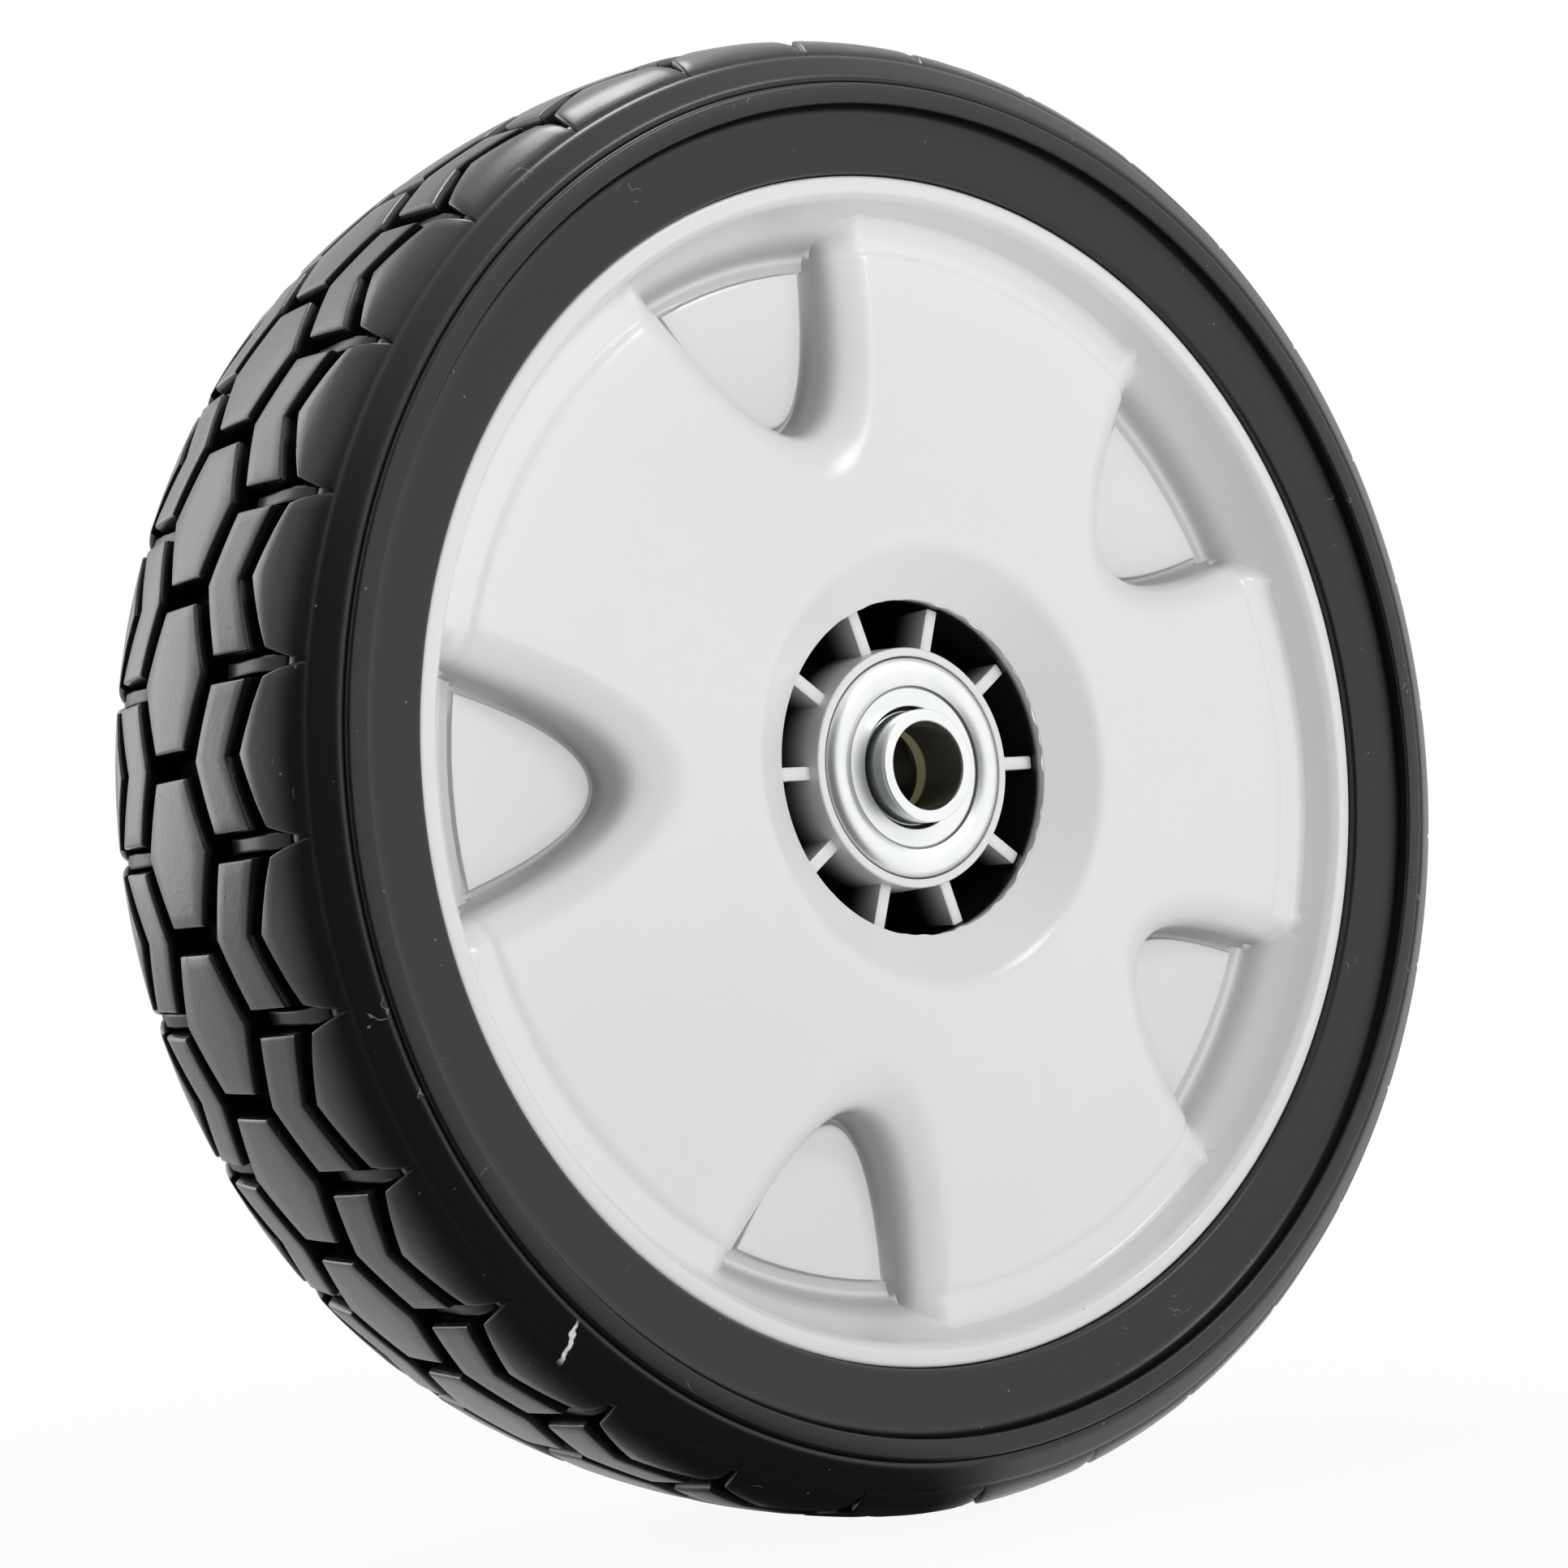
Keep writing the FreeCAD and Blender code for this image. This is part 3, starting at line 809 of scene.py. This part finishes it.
def add_sector(moulding, middle, span, end, levels, surface):
    """One pocket's share of the disc: its grid, then chords across the pocket's floor. surface gives the
    forward place from a radius, a nose and a height."""
    grid = sector_grid(span, end, levels, surface)
    rows = [[moulding.add(middle + angle, radius, forward) for angle, radius, forward in row] for row in grid]
    moulding.strips(rows)
    tip = len(rows[-1]) // 2
    chords = [rows[-1][:tip + 1]]
    for index in range(1, CHORD_ROWS):
        turn = 1 - 2 * index / CHORD_ROWS
        chord = [moulding.add(middle + angle * turn, radius, forward)
                 for angle, radius, forward in grid[-1][:tip]]
        chords.append(chord + [rows[-1][tip]])
    chords.append(rows[-1][tip:][::-1])
    for row, following in zip(chords, chords[1:]):
        moulding.strip(row[:-1], following[:-1])
        moulding.faces.append((row[-2], row[-1], following[-2]))


def front_surface(radius, nose, height):
    """The face that is seen: the disc, the pocket in it, the ramp at its outer end and its two ears."""
    face = disc_face(radius)
    if height <= 0:
        ear = EAR_HEIGHT * smooth_step(radius, DISC_RADIUS, EAR_RADIUS)
        ear *= max(1 - ((nose - EAR_NOSE) / EAR_WIDTH) ** 2, 0)
        place = max(face + height, FLOOR_FACE + WALL_FOOT) + ear
    else:
        raised = height - FLOOR_FACE
        place = min(FLOOR_FACE + raised * (1 - smooth_step(radius, PAD_END, RAMP_START)), face)
    part = clamped((radius - RAMP_START) / (VALLEY_RADIUS - RAMP_START))
    if part == 0 or nose < POCKET_NOSE:
        return place
    ramp_foot = FLOOR_FACE - RAMP_DIP
    ramp = ramp_foot + (RAMP_TOP - ramp_foot) * part ** RAMP_CURVE
    return soft_most(place, ramp, RAMP_EASE)


def rear_surface(radius, nose, height):
    """The face behind it, one shell away."""
    face = disc_face(radius) - SHELL
    return face + height if height <= 0 else min(height, face)


def add_barrel(moulding):
    """The tyre's seat with its two lips, from the disc's ledge round to the shell behind the disc."""
    lip_back = RIM_SIDE - LIP_THICKNESS
    valley = DISC_FACE - LEDGE_STEP
    corners = [(LIP_FOOT - LIP_ROOT, valley - LIP_TUCK, 0), (LIP_FOOT, valley - SHELL_LAP, 0)]
    corners += [(LIP_WALL, RIM_SIDE - LIP_ROLL, 0.5), (LIP_CREST, RIM_SIDE, 0.5)]
    corners += [(RIM_RADIUS - LIP_DRAFT, RIM_SIDE, 0.6), (RIM_RADIUS, lip_back, 0.2)]
    corners += [(BARREL_OUTER, lip_back, 0.3), (BARREL_OUTER, -lip_back, 0.3)]
    corners += [(RIM_RADIUS, -lip_back, 0.2), (RIM_RADIUS, -RIM_SIDE, 0.6), (REAR_LIP, -RIM_SIDE, 0.6)]
    corners += [(BARREL, -lip_back, 0.8), (BARREL, DISC_FACE - SHELL + SHELL_LAP, 0)]
    moulding.lathe(rounded(corners), closed=False)


def add_dish(moulding):
    """The dish from the disc down to the hub opening, and the shell behind it."""
    step = (LATHE_RADIUS - OPENING_RADIUS) / DISH_STEPS
    radii = [LATHE_RADIUS - step * index for index in range(DISH_STEPS + 1)]
    front = [(radius, disc_face(radius)) for radius in radii]
    rear = [(radius, disc_face(radius) - DISH_THICKNESS) for radius in reversed(radii[1:])]
    rear.append((LATHE_RADIUS, disc_face(LATHE_RADIUS) - SHELL))
    moulding.lathe(front + rear, closed=False)


def add_flash(moulding):
    """The ragged fin of plastic that the mould leaves round the hub opening, longest on the right."""
    rows = [[], [], [], []]
    for index in range(FLASH_STEPS):
        angle = math.tau * index / FLASH_STEPS
        ragged = sum(math.sin(count * angle + start) for count, start in FLASH_WAVES) / len(FLASH_WAVES)
        fin = FLASH_LEAST + FLASH_LENGTH * (1 + math.cos(angle)) / 2 * max(ragged + 0.1, 0.0)
        outline = ((FLASH_ROOT, -0.1), (-fin, -0.15), (-fin, -0.25), (FLASH_ROOT, -0.6))
        for row, (along, forward) in zip(rows, outline):
            row.append(moulding.add(angle, OPENING_RADIUS + along, OPENING_FACE + forward))
    moulding.strips(rows + rows[:1], closed=True)


def add_hub(moulding):
    """The ring behind the opening, and the boss that holds both bearings with a web between them."""
    ring = [(HUB_INNER, HUB_FACE, 0), (HUB_OUTER, OPENING_FACE, 0)]
    ring += [(HUB_OUTER, HUB_REAR, 0.4), (HUB_INNER, HUB_REAR, 0.4)]
    moulding.lathe(rounded(ring))
    boss = [(BOSS_BORE, BOSS_STOP, 0.2), (BOSS_SEAT, BOSS_STOP, 0.2), (BOSS_SEAT, BOSS_FACE, 0.2)]
    boss += [(BOSS_TOP, BOSS_FACE, 0.35), (BOSS_ROOT, WEB_HALF, 0.6), (WEB_RADIUS, WEB_HALF, 0)]
    moulding.lathe(rounded(both_sides(boss)))


def add_rib(moulding, angle, outline, thickness):
    """A flat rib through the axle line, with its edges eased."""
    corners = [Vector(corner) for corner in rounded(outline, 2)]
    middle = sum(corners, Vector((0.0, 0.0))) / len(corners)
    half = thickness / 2
    flat = half - RIB_EASE
    rows = []
    for across, inset in ((-half, RIB_EASE), (-flat, 0.0), (flat, 0.0), (half, RIB_EASE)):
        row = []
        for corner in corners:
            along, forward = corner + (middle - corner).normalized() * inset
            row.append(moulding.add(angle + math.atan2(across, along), math.hypot(along, across), forward))
        rows.append(row)
    moulding.strips(rows, closed=True)
    moulding.faces.append(tuple(rows[0]))
    moulding.faces.append(tuple(rows[-1]))


def add_ribs(moulding, settings):
    """The ribs from the boss to the barrel, of which each one behind a pocket is cut away for it."""
    inner = [(RIB_START, RIB_FACE, 0.3), (RIB_BEND, RIB_FACE, 0.5), (DISH_RADIUS, 21.2, 0)]
    outer = [(RIB_END, -6.0, 0.5), (HUB_INNER, HUB_REAR, 0.5), (RIB_START, -14.0, 0.5)]
    behind_disc = inner + [(DISC_RADIUS, 16.4, 0), (RIB_END, 16.0, 0)] + outer
    behind_pocket = inner + [(44.0, 19.4, 0), (47.5, 10.4, 0), (70.0, 10.4, 0), (RIB_END, 14.0, 0)] + outer
    for index in range(settings.ribs):
        outline = behind_disc if index * settings.pockets % settings.ribs else behind_pocket
        add_rib(moulding, settings.phase + math.tau * index / settings.ribs, outline, settings.rib / MM)


def plastic_finish(settings):
    """Glossy light moulded plastic with a faint skin, tone drift, specks, and painted shade in the pockets
    and in the wells.
    """
    sheet = new_finish("rim_plastic")
    vector, x, y, z = sheet.place()
    radius = long_side(x, z)
    cloud = sheet.noise(vector, 18.0, detail=3.0)
    skin = sheet.noise(vector, 700.0)
    specks = sheet.cells(vector, 260.0).rise(0.035, 0.02) * sheet.noise(vector, 60.0).rise(0.6, 0.68)
    duller = [part * 0.97 for part in settings.plastic]
    drift = sheet.blend(cloud.rise(0.3, 0.7) * 0.5, settings.plastic, duller)

    # Painted shade on the pocket walls and the channels round the pads, but not on what faces forward
    below = DISH_FACE - (radius - DISH_RADIUS) * DISC_SLOPE + y
    facing = 0 - sheet.split(sheet.node("ShaderNodeTexCoord", output="Normal"))[1]
    channel = (y + (FLOOR_FACE + 0.4)).rise(0.0, 0.3) * 0.7
    walls = (1 - facing.rise(0.6, 0.95) * 0.85).most(channel) * facing.rise(-0.3, -0.1)
    painted_pocket_shade = below.rise(1.0, 5.5) * walls * radius.rise(40.0, 44.0) * y.rise(-9.0, -11.0)
    shaded = sheet.blend(painted_pocket_shade * 0.8, drift, [part * 0.45 for part in settings.plastic])

    # Painted shade in the wells between the ribs, dark from just below their brink
    brink = y + RIB_FACE + radius.rise(22.6, 23.4) * 2.2
    brink = brink * (1 + radius.rise(22.9, 23.15) * 5)
    wells = radius.between(WELL_INNER - 0.1, WELL_INNER, WELL_OUTER, WELL_OUTER + 0.1)
    deep = wells * brink.rise(0.3, 7.0) * y.rise(0.0, -0.5)
    darkened = sheet.blend(deep ** 0.7, shaded, grey(0.014))

    # Faint sink marks over the ribs between the pockets
    span = math.tau / settings.pockets
    turn = sheet.node("ShaderNodeMath", {"operation": "ARCTAN2"}, {0: z, 1: x}) - (settings.phase + span / 2)
    across = sheet.node("ShaderNodeMath", {"operation": "PINGPONG"}, {0: turn, 1: span / 2}) * radius
    sink = across.rise(2.2, 0.3) * radius.between(40.0, 50.0, 60.0, 68.0)

    sheet.set("Base Color", sheet.blend(specks, darkened, grey(0.05)))
    sheet.set("Roughness", 0.18 + cloud * 0.10 + specks * 0.3)
    sheet.bump(skin * 0.3 - sink * 0.8, 0.1 * MM, 0.6)
    return sheet.owner


class WHEEL_OT_rim(bpy.types.Operator):
    """Make the one-piece moulded rim"""
    bl_idname = "wheel.rim"
    bl_label = "Rim"

    def execute(self, context):
        settings = context.scene.wheel_rim
        moulding = Moulding()
        span = math.tau / settings.pockets
        for index in range(settings.pockets):
            middle = settings.phase + span * index
            add_sector(moulding, middle, span, VALLEY_RADIUS, FRONT_LEVELS, front_surface)
            add_sector(moulding, middle, span, BARREL, REAR_LEVELS, rear_surface)
        add_barrel(moulding)
        add_dish(moulding)
        add_flash(moulding)
        add_hub(moulding)
        add_ribs(moulding, settings)
        moulding.finish("rim_moulding", "wheel", plastic_finish(settings), "rim_plastic", "rim")
        return {"FINISHED"}


# Bearings

BEARING_BASE = 10.4
CUP_RADIUS = 15.35
CUP_INNER = 12.6
CUP_SIDE = 17.0
CUP_FACE = 18.0
CUP_CREST_OUTER = 14.3
CUP_CREST_INNER = 12.4
CUP_LIP = 11.15
CUP_LIP_DRAFT = 0.15
CUP_LIP_FACE = 17.4
CUP_LIP_BACK = 17.2
SHIELD_HOLE = 8.5
SHIELD_RADIUS = 12.55
SHIELD_FACE = 17.15
SHIELD_BACK = 16.35
BORE_RADIUS = 6.0
RACE_RADIUS = 9.3
RACE_FACE = 16.05
COLLAR_RADIUS = 7.8
ROUNDING_STEPS = 6

# Painted shade in the seams: the radii where each starts and ends, and its strength.
SEAMS = ((11.0, 11.25, 0.7), (15.2, 15.4, 0.6))
SEAM_EASE = 0.12
SEAM_SHADE = grey(0.02)
# Painted shade for the collar's side, the gap beside it and the bore
COLLAR_SHADE = (0.55, 0.59, 0.54)
COLLAR_GAP = grey(0.004)
BORE_SHADE = (0.24, 0.23, 0.19)
# Painted shade: the sleeve deep in the bore is coloured near black
SLEEVE_SHADE = (0.06, 0.05, 0.035)
BALL_STEEL = (0.78, 0.78, 0.79)
NYLON = (0.16, 0.10, 0.05)
PALE_NYLON = (0.22, 0.14, 0.08)
TARNISH = (0.94, 0.96, 0.98)


def steel_finish(name, tint, gloss, metal=1.0):
    """Plated steel with turning lines round the axle and a faint tarnish, as (sheet, radius, y, tone)."""
    sheet = new_finish(name, Metallic=metal)
    vector, x, y, z = sheet.place()
    radius = long_side(x, z)
    turning = sheet.rings(radius, y, 2.4)
    cloud = sheet.noise(vector, 160.0, detail=3.0)
    tone = sheet.blend(cloud.rise(0.35, 0.7), tint, [part * dulled for part, dulled in zip(tint, TARNISH)])
    sheet.set("Base Color", tone)
    sheet.set("Roughness", gloss + turning * 0.08 + cloud * 0.06)
    sheet.bump(turning, 0.02 * MM, 0.5)
    return sheet, radius, y, tone


def shell_finish(settings):
    """The outer race and the shield, with painted shade in their seams."""
    sheet, radius, _, tone = steel_finish("bearing_zinc", settings.zinc, 0.28, metal=0.85)
    for start, end, strength in SEAMS:
        seam = radius.between(start - SEAM_EASE, start, end, end + SEAM_EASE)
        tone = sheet.blend(seam * strength, tone, SEAM_SHADE)
    sheet.set("Base Color", tone)
    return sheet.owner


def collar_finish(settings):
    """Inner race: bright face, painted shade on its side and down its bore, and a yellow band of painted
    light at the bore's inner end.
    """
    sheet, radius, y, tone = steel_finish("collar_zinc", settings.zinc, 0.18)
    aside = y.distance()
    # Painted shade darkens the collar's side
    side = radius.rise(COLLAR_RADIUS - 0.2, COLLAR_RADIUS - 0.05)
    side = side * aside.rise(COLLAR_FACE - 0.3, COLLAR_FACE - 0.9)
    bore = radius.rise(BORE_RADIUS + 0.3, BORE_RADIUS + 0.1)
    # Painted light: a pale yellow band at the bore's inner end, in the yellow plating's colour; the rest of
    # the bore gets painted shade
    lit = aside.between(10.0, 10.3, 12.0, 12.6)
    inside = sheet.blend(lit, BORE_SHADE, settings.yellow)
    tone = sheet.blend(side * 0.75, tone, COLLAR_SHADE)
    # Painted shade: near black beyond the collar's edge, where the race shows in the gap by the shield
    tone = sheet.blend(radius.rise(COLLAR_RADIUS + 0.05, COLLAR_RADIUS + 0.15), tone, COLLAR_GAP)
    sheet.set("Base Color", sheet.blend(bore, tone, inside))
    sheet.set("Roughness", 0.24 + lit * bore * 0.35)
    sheet.set("Metallic", 0.85 - bore * (0.15 + lit * 0.7))
    return sheet.owner


def nylon_finish():
    """Brown moulded nylon with a mottled tone."""
    sheet = new_finish("cage_nylon", Roughness=0.5)
    vector = sheet.place()[0]
    sheet.set("Base Color", sheet.blend(sheet.noise(vector, 300.0), NYLON, PALE_NYLON))
    return sheet.owner


def cup_outline():
    """The pressed outer race, with its lip rolled over the shield."""
    corners = [(CUP_RADIUS, BEARING_BASE, 0.2), (CUP_RADIUS, CUP_SIDE, 0.6), (CUP_CREST_OUTER, CUP_FACE, 1.2)]
    corners += [(CUP_CREST_INNER, CUP_FACE, 1.0), (CUP_LIP, CUP_LIP_FACE, 0.3)]
    corners += [(CUP_LIP + CUP_LIP_DRAFT, CUP_LIP_BACK, 0)]
    return corners + [(CUP_INNER, CUP_LIP_BACK, 0), (CUP_INNER, BEARING_BASE, 0)]


def shield_outline():
    """The flat washer behind the lip."""
    face = [(SHIELD_HOLE, SHIELD_FACE, 0.15), (SHIELD_RADIUS, SHIELD_FACE, 0)]
    return face + [(SHIELD_RADIUS, SHIELD_BACK, 0), (SHIELD_HOLE, SHIELD_BACK, 0)]


def collar_outline():
    """The inner race, with the collar that stands out past the shield."""
    race = [(BORE_RADIUS, BEARING_BASE, 0), (RACE_RADIUS, BEARING_BASE, 0.2), (RACE_RADIUS, RACE_FACE, 0.2)]
    collar = [(COLLAR_RADIUS, RACE_FACE, 0), (COLLAR_RADIUS, COLLAR_FACE, 0.35)]
    return race + collar + [(BORE_RADIUS, COLLAR_FACE, 0.4)]


class WHEEL_OT_bearings(bpy.types.Operator):
    """Finish the two bearings and the sleeve between them"""
    bl_idname = "wheel.bearings"
    bl_label = "Bearings"

    def execute(self, context):
        settings = context.scene.wheel_bearing
        shell = shell_finish(settings)
        rings = (("outer_race", "wheel", cup_outline(), shell), ("shield", "wheel", shield_outline(), shell),
                 ("inner_race", "axle_set", collar_outline(), collar_finish(settings)))
        for side, facing in (("front", 1), ("rear", -1)):
            for name, body, corners, material in rings:
                outline = [(radius, forward * facing) for radius, forward in rounded(corners, ROUNDING_STEPS)]
                node = side + "_" + name
                moulding = Moulding()
                moulding.lathe(outline, BEARING_SEGMENTS)
                moulding.finish(node + "_plated", body, material, "bearing_zinc", node)
        # Solids that are shown as they are, by a word in their names
        # The sleeve's near-black colour is painted shade
        solids = {"spacer_sleeve": steel_finish("sleeve_zinc", SLEEVE_SHADE, 0.22)[0].owner,
                  "_ball": steel_finish("ball_steel", BALL_STEEL, 0.06)[0].owner, "_cage": nylon_finish()}
        for name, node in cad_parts.items():
            for word, material in solids.items():
                if word in name:
                    node.data.materials.clear()
                    node.data.materials.append(material)
        return {"FINISHED"}


# Stage, in metres

CAMERA_PLACE = (-0.2331, -0.3018, -0.0258)
CAMERA_RIGHT = (0.8047, -0.5917, -0.0489)
CAMERA_UP = (0.0, -0.0823, 0.9966)
NEAREST_SEEN = 0.01
FLOOR_SIZE = 6.0
FLOOR_GAP = 0.0002
FLOOR_WHITE = (0.9, 0.9, 0.9, 1.0)
FLOOR_SHADE = 0.07

# A dark card behind the camera, which only reflections show.
CARD_SIDE = Vector((-0.65, -0.75, -0.1))
CARD_CORE = math.cos(math.radians(24))
CARD_EDGE = math.cos(math.radians(66))
CARD_COLOUR = grey(0.03)

# Each lamp's width and height, its place, and whether reflections show it.
LAMPS = {
    "key": ((0.5, 0.5), (0.12, -0.88, 0.14), False),
    "edge": ((0.5, 1.6), (-0.45, 0.8, 0.15), True),
    "top": ((0.25, 0.4), (0.03, 0.15, 0.85), True),
    "spark": ((0.2, 0.2), (0.28, -0.65, 0.57), True),
}


def add_floor(scene):
    """A white floor that keeps the wheel's soft shadow."""
    reach = FLOOR_SIZE / 2
    height = CAD_BOX[0][2] - FLOOR_GAP
    square = ((-reach, -reach), (reach, -reach), (reach, reach), (-reach, reach))
    mesh = bpy.data.meshes.new("floor")
    mesh.from_pydata([(x, y, height) for x, y in square], [], [(0, 1, 2, 3)])
    floor = bpy.data.objects.new("floor", mesh)
    scene.collection.objects.link(floor)
    sheet = new_finish("floor_white", Base_Color=FLOOR_WHITE, Roughness=0.8)
    seen = sheet.node("ShaderNodeLightPath", output="Is Camera Ray")
    in_gloss = sheet.node("ShaderNodeLightPath", output="Is Glossy Ray")
    _, x, y, _ = sheet.place()
    distance = long_side(x, y)
    flagged = ((x * CARD_SIDE.x + y * CARD_SIDE.y) / distance).rise(CARD_EDGE, CARD_CORE)
    card = sheet.blend(flagged * in_gloss, WHITE, CARD_COLOUR)
    white = sheet.node("ShaderNodeEmission", None, {"Color": card})
    shown = seen * (1 - FLOOR_SHADE + distance.rise(100.0, 350.0) * FLOOR_SHADE)
    sheet.mix(shown.most(in_gloss), white)
    mesh.materials.append(sheet.owner)


def add_sky(scene, fill):
    """Even light, with white for the camera and the dark card for reflections."""
    scene.world = bpy.data.worlds.new("studio")
    sheet = Sheet(scene.world, Color=WHITE, Strength=fill)
    seen, glossy, through = [sheet.node("ShaderNodeLightPath", output=ray)
                             for ray in ("Is Camera Ray", "Is Glossy Ray", "Is Transmission Ray")]
    towards = sheet.node("ShaderNodeTexCoord", output="Generated")
    card = sheet.dot(towards, CARD_SIDE.normalized()).rise(CARD_EDGE, CARD_CORE)
    reflected = sheet.node("ShaderNodeBackground", None, {"Color": sheet.blend(card, WHITE, CARD_COLOUR)})
    white = sheet.node("ShaderNodeBackground", None, {"Color": WHITE})
    sheet.mix(glossy.most(through), reflected)
    sheet.mix(seen, white)


def add_lamps(scene, settings):
    for name, (size, place, in_gloss) in LAMPS.items():
        lamp = bpy.data.lights.new(name, "AREA")
        lamp.energy = getattr(settings, name)
        lamp.shape = "RECTANGLE"
        lamp.size, lamp.size_y = size
        light = bpy.data.objects.new(name, lamp)
        light.visible_glossy = in_gloss
        light.location = place
        light.rotation_euler = (-Vector(place)).to_track_quat("-Z", "Y").to_euler()
        scene.collection.objects.link(light)


def add_camera(scene, focal_length):
    lens = bpy.data.cameras.new("camera")
    lens.lens = focal_length
    lens.clip_start = NEAREST_SEEN
    camera = bpy.data.objects.new("camera", lens)
    right, up = Vector(CAMERA_RIGHT), Vector(CAMERA_UP)
    turn = Matrix((right, up, right.cross(up))).transposed()
    camera.matrix_world = Matrix.Translation(CAMERA_PLACE) @ turn.to_4x4()
    scene.collection.objects.link(camera)
    scene.camera = camera


class WHEEL_OT_stage(bpy.types.Operator):
    """Set the floor, the light and the camera"""
    bl_idname = "wheel.stage"
    bl_label = "Stage"

    def execute(self, context):
        scene = context.scene
        settings = scene.wheel_stage
        scene.view_settings.view_transform = "Standard"
        add_floor(scene)
        add_sky(scene, settings.fill)
        add_lamps(scene, settings)
        add_camera(scene, settings.lens)
        return {"FINISHED"}


class WHEEL_PT_pieces(bpy.types.Panel):
    """Lists the wheel's pieces and their settings"""
    bl_idname = "WHEEL_PT_pieces"
    bl_label = "Mower wheel"
    bl_space_type = "VIEW_3D"
    bl_region_type = "UI"
    bl_category = "Wheel"

    def draw(self, context):
        for group, (settings_class, operator) in PIECES.items():
            column = self.layout.column()
            for name in settings_class.__annotations__:
                column.prop(getattr(context.scene, group), name)
            column.operator(operator.bl_idname)


PIECES = {
    "wheel_tyre": (TyreSettings, WHEEL_OT_tyre),
    "wheel_rim": (RimSettings, WHEEL_OT_rim),
    "wheel_bearing": (BearingSettings, WHEEL_OT_bearings),
    "wheel_stage": (StageSettings, WHEEL_OT_stage),
}
CLASSES = (*[entry for pair in PIECES.values() for entry in pair], WHEEL_PT_pieces)


def register():
    for entry in CLASSES:
        bpy.utils.register_class(entry)
    for name, (settings_class, _) in PIECES.items():
        setattr(bpy.types.Scene, name, PointerProperty(type=settings_class))


def unregister():
    for name in PIECES:
        delattr(bpy.types.Scene, name)
    for entry in reversed(CLASSES):
        bpy.utils.unregister_class(entry)


def main():
    register()
    bpy.ops.wheel.tyre()
    bpy.ops.wheel.rim()
    bpy.ops.wheel.bearings()
    bpy.ops.wheel.stage()


if __name__ == "__main__":
    main()
